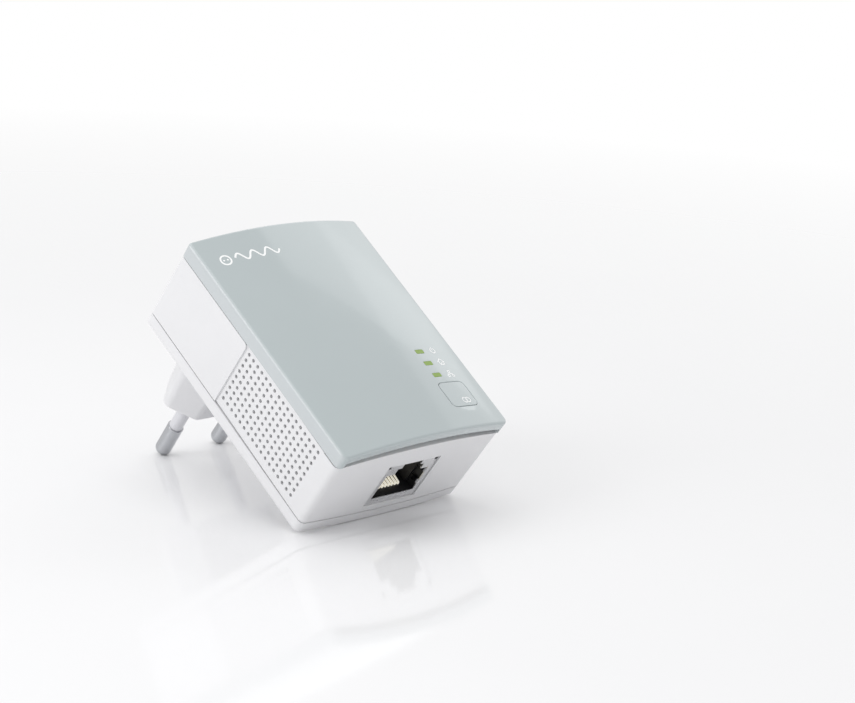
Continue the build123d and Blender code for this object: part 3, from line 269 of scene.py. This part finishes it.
def circuit_board(name):
    """Green solder resist over copper tracks."""
    shader = Shader(name)
    cells = shader.node("ShaderNodeTexVoronoi", feature="DISTANCE_TO_EDGE", distance="MANHATTAN")
    cells.inputs["Scale"].default_value = TRACK_SCALE
    shader.link(shader.place, cells.inputs["Vector"])
    tracks = shader.ramp(cells.outputs["Distance"], 1.0, 0.0, *TRACK_EDGES)
    shader.colour(shader.blend(tracks, BOARD_GREEN, TRACK_GREEN))
    shader.roughness(shader.ramp(shader.noise(BOARD_GLOSS_SCALE), *BOARD_GLOSS))
    shader.bump(tracks, TRACK_RELIEF, 0.5)
    return shader.material


def paint(material, *names):
    """Gives CAD nodes a finish."""
    for name in names:
        slots = NODES[name].data.materials
        slots.clear()
        slots.append(material)


# ---------------------------------------------------------------- finishes
# A moulding is given by its name, its colour, its roughness, the scale and the height of its grain,
# and where they differ from the usual ones, its mottling and its clear coat. A metal is given by its
# name, its colour, its roughness and how its streaks are scaled along each axis.
WHITE = (0.78, 0.78, 0.795)
GREY_GREEN = (0.475, 0.53, 0.54)
# Paler grey of the painted sheen on the cover's left and right sides.
PAINTED_SHEEN_GREY = (0.555, 0.59, 0.605)
TIN = (0.72, 0.72, 0.73)
SHIELD_RIM = 0.25 * MM          # bright part of the shield, above its mouth, below its painted shade
SHIELD_SHADE_FADE = 0.3 * MM          # height over which the painted shade darkens the shield
white_shell = moulding("white_shell", WHITE, 0.42, 5200.0, 0.000004)
paint(white_shell, "main_housing", "back_cover")
white_sleeve = moulding("white_sleeve", (0.7, 0.7, 0.73), 0.35, 3000.0, 0.000003)
paint(white_sleeve, "left_pin_sleeve", "right_pin_sleeve")
grey_cover = gloss_cover("grey_cover", GREY_GREEN, PAINTED_SHEEN_GREY, 0.14)
grey_gloss = moulding("grey_gloss", GREY_GREEN, 0.2, LACQUER_GRAIN, 0.0000015, 0.02, LACQUER_COAT)
paint(grey_gloss, "pair_button")
white_print = moulding("white_print", (0.96, 0.97, 0.97), 0.5, 6000.0, 0.000002)
nickel = plated_metal("nickel", (0.5, 0.51, 0.53), 0.2, (1, 0.2, 1))
paint(nickel, "left_mains_pin", "right_mains_pin")
tin = plated_metal("tin", TIN, 0.3, (1, 4, 1))
paint(tin, "switch_cover")
# The network socket's shield gets painted shade in its depth, where it lies in shadow.
SHIELD_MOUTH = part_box("jack_shield")[0].z
jack_tin_painted_shade = metal_with_painted_shade("jack_tin_painted_shade", TIN, 0.3, SHIELD_MOUTH + SHIELD_RIM, SHIELD_SHADE_FADE)
paint(jack_tin_painted_shade, "jack_shield")
zinc = plated_metal("zinc", (0.6, 0.61, 0.63), 0.3)
paint(zinc, "case_screws", "board_screws", "crystal", "bulk_capacitors", "output_capacitor")
gold = plated_metal("gold", (0.92, 0.78, 0.5), 0.4)
paint(gold, "link_pins")
# Pale gold contacts with a faint painted glow, standing in for light caught deep in the socket.
contact_gold_painted_glow = glowing("contact_gold_painted_glow", (0.9, 0.85, 0.7), (0.9, 0.87, 0.78), 0.45)
paint(contact_gold_painted_glow, "jack_contacts")
aluminium = plated_metal("aluminium", (0.7, 0.71, 0.73), 0.35, (1, 1, 6))
paint(aluminium, "heat_sink")
black = moulding("black_moulding", (0.012, 0.012, 0.013), 0.45, 4000.0, 0.000004, 0.15)
BLACK_PARTS = (
    "jack_insulator", "link_header", "link_socket", "switch_base", "switch_plunger",
    "ethernet_transformer", "powerline_chip", "memory_chip", "flash_chip", "ethernet_phy",
    "line_driver_chip", "fuse", "bridge_rectifier", "power_controller_chip", "output_diode",
)
paint(black, *BLACK_PARTS)
# Green indicator plastic with a faint painted glow; the glow is painted light, not a switched-on
# indicator.
green_painted_glow = glowing("green_painted_glow", (0.2, 0.32, 0.04), (0.2, 0.32, 0.03), 0.1)
paint(green_painted_glow, "light_guide", "status_leds")
label = moulding("blank_label", (0.68, 0.69, 0.72), 0.32, 2600.0, 0.000003)
paint(label, "rating_label")
board_finish = circuit_board("circuit_board")
paint(board_finish, "main_board", "power_board")
ferrite = moulding("ferrite", (0.06, 0.06, 0.065), 0.6, 1800.0, 0.00001, 0.12)
paint(ferrite, "power_inductors", "line_choke_core", "transformer_core")
copper = plated_metal("copper_wire", (0.55, 0.22, 0.09), 0.3, (1, 12, 1))
paint(copper, "coupling_winding", "line_choke_windings")
yellow = moulding("yellow_moulding", (0.75, 0.50, 0.06), 0.4, 2000.0, 0.000006, 0.06)
paint(yellow, "mains_filter_capacitor", "coupling_capacitor", "transformer_winding")
blue = moulding("blue_dip", (0.03, 0.09, 0.36), 0.25, 1200.0, 0.00001, 0.08, 0.5)
paint(blue, "surge_varistor", "safety_capacitor")
cream = moulding("cream_moulding", (0.66, 0.62, 0.50), 0.5, 3000.0, 0.000005, 0.05)
paint(cream, "coupling_bobbin", "transformer_bobbin", "optocoupler", "insulating_sheet")
thermal = moulding("thermal_pad", (0.22, 0.25, 0.31), 0.7, 2500.0, 0.00001, 0.08)
paint(thermal, "thermal_pad")


# ---------------------------------------------------------------- mesh helpers
ROUND_STEPS = 8         # parts of a rounded corner or of a wire's bend
CREASE_ANGLE = 30.0     # edges sharper than this, in degrees, stay sharp
SAME_PLACE = 1e-9
MERGE_DISTANCE = 1e-7
STRAIGHT_DOWN = -0.999  # normals below this belong to the lower end between its corners


def make_piece(name, mesh_builder, material, body, smooth_angle=CREASE_ANGLE):
    """Mesh object from a bmesh, smooth apart from its sharp edges, riding on a body."""
    mesh = bpy.data.meshes.new(name)
    mesh_builder.to_mesh(mesh)
    mesh_builder.free()
    mesh.shade_smooth()
    mesh.set_sharp_from_angle(angle=math.radians(smooth_angle))
    piece = bpy.data.objects.new(name, mesh)
    bpy.context.scene.collection.objects.link(piece)
    mesh.materials.append(material)
    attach(piece, body)
    return piece


def rounded_outline(middle, size, radii, steps=ROUND_STEPS, side_parts=(1, 1)):
    """Points of a rounded rectangle and their outward normals, anticlockwise.

    The radii are those of the upper and the lower corners. The level sides and the upright ones
    are split into the given numbers of parts.
    """
    turns = []
    for index, (sx, sz) in enumerate(((1, 1), (-1, 1), (-1, -1), (1, -1))):
        radius = radii[0] if sz > 0 else radii[1]
        reach = Vector((sx * (size[0] / 2 - radius), sz * (size[1] / 2 - radius)))
        turn = []
        for step in range(steps + 1):
            angle = math.radians(90 * (index + step / steps))
            normal = Vector((math.cos(angle), math.sin(angle)))
            turn.append((Vector(middle) + reach + normal * radius, normal))
        turns.append(turn)
    points = []
    for index, turn in enumerate(turns):
        start, normal = turn[-1]
        end = turns[(index + 1) % 4][0][0]
        parts = side_parts[index % 2]
        points += turn + [(start.lerp(end, part / parts), normal) for part in range(1, parts)]
    return points


def ring(outline, inset, drop, bend=None, end_drop=None):
    """Loop of 3-D points: the outline moved inwards and then back from the bowed front.

    Along the lower end, between its corners, the loop goes back by end_drop instead.
    """
    loop = []
    for point, normal in outline:
        x, z = point - normal * inset
        at_end = end_drop is not None and normal.y < STRAIGHT_DOWN
        if bend:
            z = bend(x, z)
        loop.append(Vector((x, crown_y(x) + (end_drop if at_end else drop), z)))
    return loop


def bridge(builder, loops):
    """Quads between loops with the same number of points."""
    rows = [[builder.verts.new(point) for point in loop] for loop in loops]
    for first, second in zip(rows, rows[1:]):
        count = len(first)
        for index in range(count):
            after = (index + 1) % count
            builder.faces.new((first[index], first[after], second[after], second[index]))


def inside(point, loop):
    """Whether a 2-D point lies inside a closed loop."""
    crossings = False
    for first, second in zip(loop, loop[1:] + loop[:1]):
        if (first[1] > point[1]) != (second[1] > point[1]):
            at = first[0] + (point[1] - first[1]) * (second[0] - first[0]) / (second[1] - first[1])
            crossings ^= point[0] < at
    return crossings


def skin(builder, border, holes, spacing, drop, outward):
    """Triangulated bowed surface inside the border loop, open at the holes."""
    loops = [[(p.x, p.z) for p in loop] for loop in [border] + holes]
    points = [point for loop in loops for point in loop]
    edges = []
    start = 0
    for loop in loops:
        edges += [(start + i, start + (i + 1) % len(loop)) for i in range(len(loop))]
        start += len(loop)
    xs, zs = [p[0] for p in loops[0]], [p[1] for p in loops[0]]
    columns = int((max(xs) - min(xs)) / spacing)
    rows = int((max(zs) - min(zs)) / spacing)
    for column in range(1, columns):
        for row in range(1, rows):
            spot = (min(xs) + column * spacing, min(zs) + row * spacing)
            near = min((spot[0] - p[0])**2 + (spot[1] - p[1])**2 for p in points[:start])
            if near > (0.5 * spacing)**2 and inside(spot, loops[0]):
                if not any(inside(spot, hole) for hole in loops[1:]):
                    points.append(spot)
    flat = delaunay_2d_cdt([Vector(p) for p in points], edges, [], 1, SAME_PLACE)
    made = [builder.verts.new((p.x, crown_y(p.x) + drop, p.y)) for p in flat[0]]
    for triangle in flat[2]:
        middle = sum((flat[0][i] for i in triangle), Vector((0, 0))) / 3
        if any(inside(middle, hole) for hole in loops[1:]):
            continue
        order = triangle if outward else list(reversed(triangle))
        builder.faces.new([made[i] for i in order])


def round_steps(radius, steps=5):
    """Inset and drop of a rounded edge, from its inner line to its outer one."""
    turns = [math.pi / 2 * step / steps for step in range(steps + 1)]
    return [(radius * (1 - math.sin(turn)), radius * (1 - math.cos(turn))) for turn in turns]


# ---------------------------------------------------------------- front cover
BUTTON_LOW, BUTTON_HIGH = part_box("pair_button")
GUIDE_LOW, GUIDE_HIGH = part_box("light_guide")
BUTTON_SIZE = (8.7 * MM, 7.1 * MM)
BUTTON_CORNER = 1.25 * MM
BUTTON_GAP = 0.14 * MM
BUTTON_MIDDLE = ((BUTTON_LOW.x + BUTTON_HIGH.x) / 2, (BUTTON_LOW.z + BUTTON_HIGH.z) / 2)
WINDOW_SIZE = (2.7 * MM, 1.2 * MM)
WINDOW_CORNERS = (0.25 * MM, 0.25 * MM)
WINDOW_PITCH = 3.6 * MM
WINDOW_X = (GUIDE_LOW.x + GUIDE_HIGH.x) / 2
WINDOW_MIDDLE_Z = (GUIDE_LOW.z + GUIDE_HIGH.z) / 2
WINDOWS = [(WINDOW_X, WINDOW_MIDDLE_Z + step * WINDOW_PITCH) for step in (-1, 0, 1)]
FLAT_MARGIN = 0.08 * MM         # strip of the front beside each rounded edge
OPENING_EDGE = 0.07 * MM
OPENING_STEPS = 3
CORNER_STEPS = 10
FRONT_SPACING = 1.3 * MM
BACK_SPACING = 2.6 * MM
# Inset and depths of the line along the middle of the skirt, at the sides and at the lower end.
SKIRT_MIDDLE = (0.04 * MM, 1.6 * MM, 1.1 * MM)
# Insets of the rim's lines, and how far in front of the rim they are.
RIM = ((0.1 * MM, 0.12 * MM), (0.16 * MM, 0.03 * MM), (0.25 * MM, 0))
INNER_RIM = ((-0.1 * MM, 0), (0, 0.1 * MM))


def cover_bend(x, z):
    """Bows the cover's lower end outwards."""
    if z > COVER_BOTTOM + BENT_HEIGHT:
        return z
    return z - COVER_BOW * max(0.0, 1 - (x / COVER_HALF)**2)


def rim_lines(lines):
    """Inset and depths, at the sides and at the lower end, of lines near the rim."""
    return [(inset, SKIRT - ahead, END_SKIRT - ahead) for inset, ahead in lines]


def front_cover():
    """Closed shell: bowed front, rounded edge, skirt, rim, inner side and the openings' walls."""
    middle = (0, (COVER_BOTTOM + COVER_TOP) / 2)
    size = (2 * COVER_HALF, COVER_TOP - COVER_BOTTOM)
    parts = [round(side / MM) for side in size]
    outline = rounded_outline(middle, size, COVER_CORNERS, CORNER_STEPS, parts)
    inner_size = [side - 2 * COVER_WALL for side in size]
    inner = rounded_outline(middle, inner_size, INNER_CORNERS, CORNER_STEPS, parts)
    builder = bmesh.new()
    profile = [(COVER_EDGE + FLAT_MARGIN, 0)] + round_steps(COVER_EDGE)
    loops = [ring(outline, inset, drop, cover_bend) for inset, drop in profile]
    rim = [SKIRT_MIDDLE] + rim_lines(RIM)
    loops += [ring(outline, inset, drop, cover_bend, end) for inset, drop, end in rim]
    loops += [ring(inner, inset, drop, cover_bend, end) for inset, drop, end in rim_lines(INNER_RIM)]
    loops.append(ring(inner, 0, COVER_WALL, cover_bend))
    bridge(builder, [list(reversed(loop)) for loop in loops])
    openings = [rounded_outline(place, WINDOW_SIZE, WINDOW_CORNERS, OPENING_STEPS) for place in WINDOWS]
    wide = [side + 2 * BUTTON_GAP for side in BUTTON_SIZE]
    openings.append(rounded_outline(BUTTON_MIDDLE, wide, [BUTTON_CORNER + BUTTON_GAP] * 2))
    fronts = []
    backs = []
    steps = [(-OPENING_EDGE - FLAT_MARGIN, 0)]
    steps += [(-inset, drop) for inset, drop in round_steps(OPENING_EDGE, OPENING_STEPS)]
    steps.append((0, COVER_WALL))
    for opening in openings:
        walls = [ring(opening, inset, drop) for inset, drop in steps]
        bridge(builder, walls)
        fronts.append(walls[0])
        backs.append(walls[-1])
    skin(builder, loops[0], fronts, FRONT_SPACING, 0, False)
    skin(builder, loops[-1], backs, BACK_SPACING, COVER_WALL, True)
    bmesh.ops.remove_doubles(builder, verts=builder.verts, dist=MERGE_DISTANCE)
    bmesh.ops.recalc_face_normals(builder, faces=builder.faces)
    piece = make_piece("front_cover_shell", builder, grey_cover, "case")
    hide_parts("front_cover")


front_cover()


# ---------------------------------------------------------------- network socket's contacts
CONTACT_LOW, CONTACT_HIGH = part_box("jack_contacts")
CONTACT_COUNT = 8
CONTACT_RADIUS = 0.22 * MM
CONTACT_FALL = 12.6 * MM                # height of the straight part, down to the bend
BEND_RADIUS = 0.35 * MM
FREE_END = (0.6 * MM, 6.8 * MM)         # how far back and up the free end goes from the bend
WIRE_SMOOTH_ANGLE = 60.0


def contact_path():
    """Y and Z of a contact: in from the board, down its lane, round the bend and up to its free end."""
    lane = CONTACT_HIGH.y - CONTACT_RADIUS
    top = CONTACT_HIGH.z - CONTACT_RADIUS
    path = [Vector((CONTACT_LOW.y, top)), Vector((lane - BEND_RADIUS, top))]
    path.append(Vector((lane, top - BEND_RADIUS)))
    middle = Vector((lane - BEND_RADIUS, top - CONTACT_FALL))
    for step in range(ROUND_STEPS + 1):
        turn = math.pi * step / ROUND_STEPS
        path.append(middle + BEND_RADIUS * Vector((math.cos(turn), -math.sin(turn))))
    path.append(middle + Vector((-BEND_RADIUS - FREE_END[0], FREE_END[1])))
    return path


def wire(builder, x, path, radius, sides=ROUND_STEPS):
    """Round wire along a path in one upright plane."""
    rings = []
    for index, point in enumerate(path):
        along = (path[min(index + 1, len(path) - 1)] - path[max(index - 1, 0)]).normalized()
        made = []
        for step in range(sides):
            turn = 2 * math.pi * step / sides
            y, z = point + Vector((-along.y, along.x)) * radius * math.cos(turn)
            made.append(builder.verts.new((x + radius * math.sin(turn), y, z)))
        rings.append(made)
    for first, second in zip(rings, rings[1:]):
        for index in range(sides):
            after = (index + 1) % sides
            builder.faces.new((first[index], first[after], second[after], second[index]))
    builder.faces.new(rings[0])
    builder.faces.new(rings[-1])


def contact_wires():
    """Row of equal contacts, each in its own lane."""
    builder = bmesh.new()
    first = CONTACT_LOW.x + CONTACT_RADIUS
    pitch = (CONTACT_HIGH.x - CONTACT_RADIUS - first) / (CONTACT_COUNT - 1)
    for index in range(CONTACT_COUNT):
        wire(builder, first + index * pitch, contact_path(), CONTACT_RADIUS)
    bmesh.ops.recalc_face_normals(builder, faces=builder.faces)
    piece = make_piece("contact_wires", builder, contact_gold_painted_glow, "case", WIRE_SMOOTH_ANGLE)
    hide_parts("jack_contacts")


contact_wires()


# ---------------------------------------------------------------- printed marks
PRINT_LIFT = 0.012 * MM
ICON_X = WINDOW_X + 4.6 * MM
ICON_SCALE = 1.18
ICON_LINE = 0.28 * MM
THIN_LINE = 0.2 * MM
BOX_LINE = 0.22 * MM
WAVE_LINE = 0.16 * MM
ARC_STEPS = 20
# Parts of the icons, in millimetres before scaling.
POWER_RADIUS = 0.62
POWER_ARC = (120, 420)
HOUSE_WALLS = ((-0.6, -0.6), (0.6, -0.6), (0.6, 0.15))
HOUSE_ROOF = ((0.85, 0.15), (0, 0.85), (-0.85, 0.15), (-0.6, 0.15))
HOUSE_WAVE = (0.35, 0.17)       # half its length, and its height
HOUSE_WAVE_DROP = 0.2
HOUSE_WAVE_HALF_STEPS = 10
BOX_MIDDLES = ((0, 0.55), (-0.65, -0.5), (0.65, -0.5))
BOX_HALF = (0.28, 0.22)
BOX_LINKS = ((-0.65, -0.25), (-0.65, 0.02), (0.65, 0.02), (0.65, -0.25))


def ribbon(builder, points, width, closed=False):
    """Printed line of one width along 2-D points, laid on the bowed front."""
    count = len(points)
    sides = []
    for index, point in enumerate(points):
        before = points[index - 1] if closed or index else point
        after = points[(index + 1) % count] if closed or index < count - 1 else point
        along_in, along_out = point - before, after - point
        if along_in.length < SAME_PLACE:
            along_in = along_out
        if along_out.length < SAME_PLACE:
            along_out = along_in
        along_in, along_out = along_in.normalized(), along_out.normalized()
        across = Vector((-along_in.y - along_out.y, along_in.x + along_out.x)).normalized()
        square = Vector((-along_in.y, along_in.x))
        reach = width / 2 / max(0.5, across.dot(square))
        sides.append((point + across * reach, point - across * reach))
    made = []
    for pair in sides:
        made.append([builder.verts.new((p.x, crown_y(p.x) - PRINT_LIFT, p.y)) for p in pair])
    last = count if closed else count - 1
    for index in range(last):
        first, second = made[index], made[(index + 1) % count]
        builder.faces.new((first[0], first[1], second[1], second[0]))


def arc(middle, radius, start, end, steps=ARC_STEPS):
    """Points of an arc, angles in degrees."""
    angles = [math.radians(start + (end - start) * step / steps) for step in range(steps + 1)]
    return [Vector(middle) + radius * Vector((math.cos(a), math.sin(a))) for a in angles]


def disc(builder, middle, radius):
    """Filled printed dot."""
    rim = arc(middle, radius, 0, 360)[:-1]
    builder.faces.new([builder.verts.new((p.x, crown_y(p.x) - PRINT_LIFT, p.y)) for p in rim])


def at(middle, *offsets):
    """Points of an icon given by their offsets from its middle, in millimetres before scaling."""
    return [Vector(middle) + ICON_SCALE * MM * Vector(offset) for offset in offsets]


def power_icon(builder, middle):
    """Open ring with a bar in its gap."""
    ribbon(builder, arc(middle, POWER_RADIUS * ICON_SCALE * MM, *POWER_ARC), ICON_LINE)
    ribbon(builder, at(middle, (0, 0.15), (0, 0.85)), ICON_LINE)


def mains_icon(builder, middle):
    """House outline with a short wave in it."""
    ribbon(builder, at(middle, *HOUSE_WALLS, *HOUSE_ROOF), ICON_LINE, True)
    reach, height = HOUSE_WAVE
    wave = []
    for step in range(-HOUSE_WAVE_HALF_STEPS, HOUSE_WAVE_HALF_STEPS + 1):
        share = step / HOUSE_WAVE_HALF_STEPS
        wave.append((share * reach, height * math.sin(share * math.pi) - HOUSE_WAVE_DROP))
    ribbon(builder, at(middle, *wave), WAVE_LINE)


def network_icon(builder, middle):
    """Three linked boxes."""
    for x, z in BOX_MIDDLES:
        left, right = x - BOX_HALF[0], x + BOX_HALF[0]
        low, high = z - BOX_HALF[1], z + BOX_HALF[1]
        box = at(middle, (left, low), (right, low), (right, high), (left, high))
        ribbon(builder, box, BOX_LINE, True)
    ribbon(builder, at(middle, *BOX_LINKS), THIN_LINE)
    ribbon(builder, at(middle, (0, 0.02), (0, 0.33)), THIN_LINE)


MARK = Vector((-20.3 * MM, COVER_TOP - 7.3 * MM))       # middle of the printed socket
SOCKET_RADIUS = 1.3 * MM
SOCKET_LINE = 0.42 * MM
SOCKET_HOLE = 0.5 * MM                                  # from the middle to each hole
SOCKET_HOLE_RADIUS = 0.24 * MM
SOCKET_STEPS = 36
WAVE_START = 2.6 * MM                                   # from the socket's middle
WAVE_LENGTH = 12.6 * MM
WAVE_HEIGHT = 1.05 * MM
WAVE_COUNT = 3
WAVE_STEPS = 72
WAVE_WIDTH = 0.48 * MM
RINGS = Vector((BUTTON_MIDDLE[0] + 1.3 * MM, BUTTON_MIDDLE[1] - 1.9 * MM))
RING_SHIFT = 0.55 * MM
RING_RADIUS = 0.7 * MM
RING_LINE = 0.26 * MM
RING_STEPS = 24


def cover_print():
    """Icons beside the windows, and a plain mark: a mains socket and a signal wave."""
    builder = bmesh.new()
    for draw, (_, z) in zip((network_icon, mains_icon, power_icon), WINDOWS):
        draw(builder, (ICON_X, z))
    ribbon(builder, arc(MARK, SOCKET_RADIUS, 0, 360, SOCKET_STEPS)[:-1], SOCKET_LINE, True)
    for side in (-1, 1):
        disc(builder, MARK + Vector((side * SOCKET_HOLE, 0)), SOCKET_HOLE_RADIUS)
    wave = []
    for step in range(WAVE_STEPS + 1):
        share = step / WAVE_STEPS
        rise = WAVE_HEIGHT * math.sin(share * 2 * WAVE_COUNT * math.pi)
        wave.append(MARK + Vector((WAVE_START + WAVE_LENGTH * share, rise)))
    ribbon(builder, wave, WAVE_WIDTH)
    piece = make_piece("cover_print", builder, white_print, "case")


def button_print():
    """Two linked rings on the button."""
    builder = bmesh.new()
    for side in (-1, 1):
        place = RINGS + Vector((side * RING_SHIFT, 0))
        ribbon(builder, arc(place, RING_RADIUS, 0, 360, RING_STEPS)[:-1], RING_LINE, True)
    piece = make_piece("button_print", builder, white_print, "button")


cover_print()
button_print()

# ---------------------------------------------------------------- camera
LENS = 105.93
CAMERA_PLACE = Vector((-0.38909, -0.37706, -0.26417))
CAMERA_FORWARD = Vector((0.70699, 0.57862, 0.40666))
CAMERA_UP = Vector((0.13262, -0.67327, 0.72741))
CAMERA_REACH = 20.0


def add_camera():
    """Camera at the place and tilt from which the adapter is seen lying on its pins and lower edge."""
    camera = bpy.data.objects.new("camera", bpy.data.cameras.new("camera"))
    camera.data.lens = LENS
    right = CAMERA_FORWARD.cross(CAMERA_UP).normalized()
    axes = Matrix((right, right.cross(CAMERA_FORWARD), -CAMERA_FORWARD)).transposed()
    camera.matrix_world = Matrix.Translation(CAMERA_PLACE) @ axes.to_4x4()
    camera.data.clip_end = CAMERA_REACH
    bpy.context.scene.collection.objects.link(camera)
    bpy.context.scene.camera = camera


add_camera()

# ---------------------------------------------------------------- floor and light
# The floor is tilted in the object's frame, because the adapter lies on it, on its pins' tips and
# its back cover's lower edge. Seen from below the floor isn't there.
STEEPEST = 45.0                 # limits of the search for the tilt, in degrees
FLATTEST = 20.0
TILT_ROUNDS = 30
FLOOR_RADIUS = 1.2
FLOOR_SIDES = 96
FLOOR_FADE = (0.16, 0.55)       # radii between which the floor fades out
FLOOR_SCALE = 8.0
FLOOR_SHADES = ((0.91, 0.91, 0.92), (0.94, 0.94, 0.95))
FLOOR_ROUGHNESS = 0.08
FLOOR_IOR = 1.5
SURROUND_SEEN = 1.0
SURROUND_LIGHTING = 0.72


def profile_points(name):
    """Y and Z of a node's vertices."""
    return [(vertex.co.y, vertex.co.z) for vertex in NODES[name].data.vertices]


def floor_tilt():
    """Upward normal and level of the plane under the back cover's lower edge and the pins' tips."""
    cover = profile_points("back_cover")
    pin = profile_points("left_mains_pin")
    low, high = math.radians(FLATTEST), math.radians(STEEPEST)
    for _ in range(TILT_ROUNDS):
        angle = (low + high) / 2
        up = Vector((-math.cos(angle), math.sin(angle)))
        cover_level = min(up.x * y + up.y * z for y, z in cover)
        pin_level = min(up.x * y + up.y * z for y, z in pin)
        if pin_level < cover_level:
            low = angle
        else:
            high = angle
    return Vector((0, up.x, up.y)), min(cover_level, pin_level)


FLOOR_UP, FLOOR_LEVEL = floor_tilt()
FLOOR_ORIGIN = FLOOR_UP * FLOOR_LEVEL
FLOOR_RIGHT = Vector((1, 0, 0))
FLOOR_AHEAD = FLOOR_UP.cross(FLOOR_RIGHT)


def floor_point(right, ahead, up):
    """Point given in the floor's own directions, in metres."""
    return FLOOR_ORIGIN + FLOOR_RIGHT * right + FLOOR_AHEAD * ahead + FLOOR_UP * up


def floor_material():
    """Glossy white floor that fades out towards its rim, and is clear from below."""
    shader = Shader("floor")
    shader.colour(shader.blend(shader.noise(FLOOR_SCALE), *FLOOR_SHADES))
    shader.set(Roughness=FLOOR_ROUGHNESS, IOR=FLOOR_IOR)
    distance = shader.node("ShaderNodeVectorMath", operation="LENGTH")
    shader.link(shader.place, distance.inputs[0])
    fade = shader.ramp(distance.outputs["Value"], 0.0, 1.0, *FLOOR_FADE)
    geometry = shader.node("ShaderNodeNewGeometry")
    hidden = shader.node("ShaderNodeMath", operation="MAXIMUM")
    shader.link(fade, hidden.inputs[0])
    shader.link(geometry.outputs["Backfacing"], hidden.inputs[1])
    clear = shader.node("ShaderNodeBsdfTransparent")
    mix = shader.node("ShaderNodeMixShader")
    shader.link(hidden.outputs["Value"], mix.inputs["Fac"])
    shader.link(shader.surface.outputs["BSDF"], mix.inputs[1])
    shader.link(clear.outputs["BSDF"], mix.inputs[2])
    output = shader.tree.nodes["Material Output"]
    shader.link(mix.outputs["Shader"], output.inputs["Surface"])
    return shader.material


def add_floor():
    """Round floor under the case."""
    builder = bmesh.new()
    bmesh.ops.create_circle(builder, cap_ends=True, radius=FLOOR_RADIUS, segments=FLOOR_SIDES)
    mesh = bpy.data.meshes.new("floor")
    builder.to_mesh(mesh)
    builder.free()
    floor = bpy.data.objects.new("floor", mesh)
    axes = Matrix((FLOOR_RIGHT, FLOOR_AHEAD, FLOOR_UP)).transposed().to_4x4()
    floor.matrix_world = Matrix.Translation(FLOOR_ORIGIN) @ axes
    mesh.materials.append(floor_material())
    bpy.context.scene.collection.objects.link(floor)


def softbox(name, edge_start, edge_end, inward, width, radiance):
    """Rectangular soft light with one edge between two points, spreading inward from it."""
    along = edge_end - edge_start
    across = (inward - inward.project(along)).normalized()
    middle = (edge_start + edge_end) / 2 + across * (width / 2)
    facing = along.cross(across).normalized()
    if facing.dot(CASE_MIDDLE - middle) < 0:
        facing = -facing
    light = bpy.data.lights.new(name, "AREA")
    light.shape = "RECTANGLE"
    light.size, light.size_y = along.length, width
    light.energy = radiance * math.pi * along.length * width
    first = along.normalized()
    axes = Matrix((first, (-facing).cross(first), -facing)).transposed()
    holder = bpy.data.objects.new(name, light)
    holder.matrix_world = Matrix.Translation(middle) @ axes.to_4x4()
    bpy.context.scene.collection.objects.link(holder)


def add_world(seen, lighting):
    """Even studio surround, seen as pure white and lighting a little less than that."""
    world = bpy.data.worlds.new("studio")
    world.use_nodes = True
    tree = world.node_tree
    background = tree.nodes["Background"]
    background.inputs["Color"].default_value = (1, 1, 1, 1)
    rays = tree.nodes.new("ShaderNodeLightPath")
    level = tree.nodes.new("ShaderNodeMapRange")
    level.inputs["To Min"].default_value = lighting
    level.inputs["To Max"].default_value = seen
    tree.links.new(rays.outputs["Is Camera Ray"], level.inputs["Value"])
    tree.links.new(level.outputs["Result"], background.inputs["Strength"])
    bpy.context.scene.world = world


# Each softbox: the two ends of one edge in the floor's directions, the way that it spreads from
# that edge, its width and its radiance.
SOFTBOXES = {
    "right": ((0.42, -0.03, 0.617), (0.66, 0.024, 0.354), FLOOR_AHEAD, 0.5, 0.85),
    "low_right": ((0.62, -0.6, 0.05), (0.62, 0.1, 0.05), FLOOR_UP, 0.5, 0.4),
    "left": ((-0.6, -0.1, 0.1), (-0.6, -0.1, 0.7), FLOOR_AHEAD, 0.5, 2.1),
    "overhead": ((-0.4, -0.3, 0.8), (-0.4, 0.4, 0.8), FLOOR_RIGHT, 0.6, 1.05),
}

add_floor()
add_world(SURROUND_SEEN, SURROUND_LIGHTING)
for box_name, (start, end, inward, width, radiance) in SOFTBOXES.items():
    softbox(box_name, floor_point(*start), floor_point(*end), inward, width, radiance)
bpy.context.scene.view_settings.view_transform = "Standard"
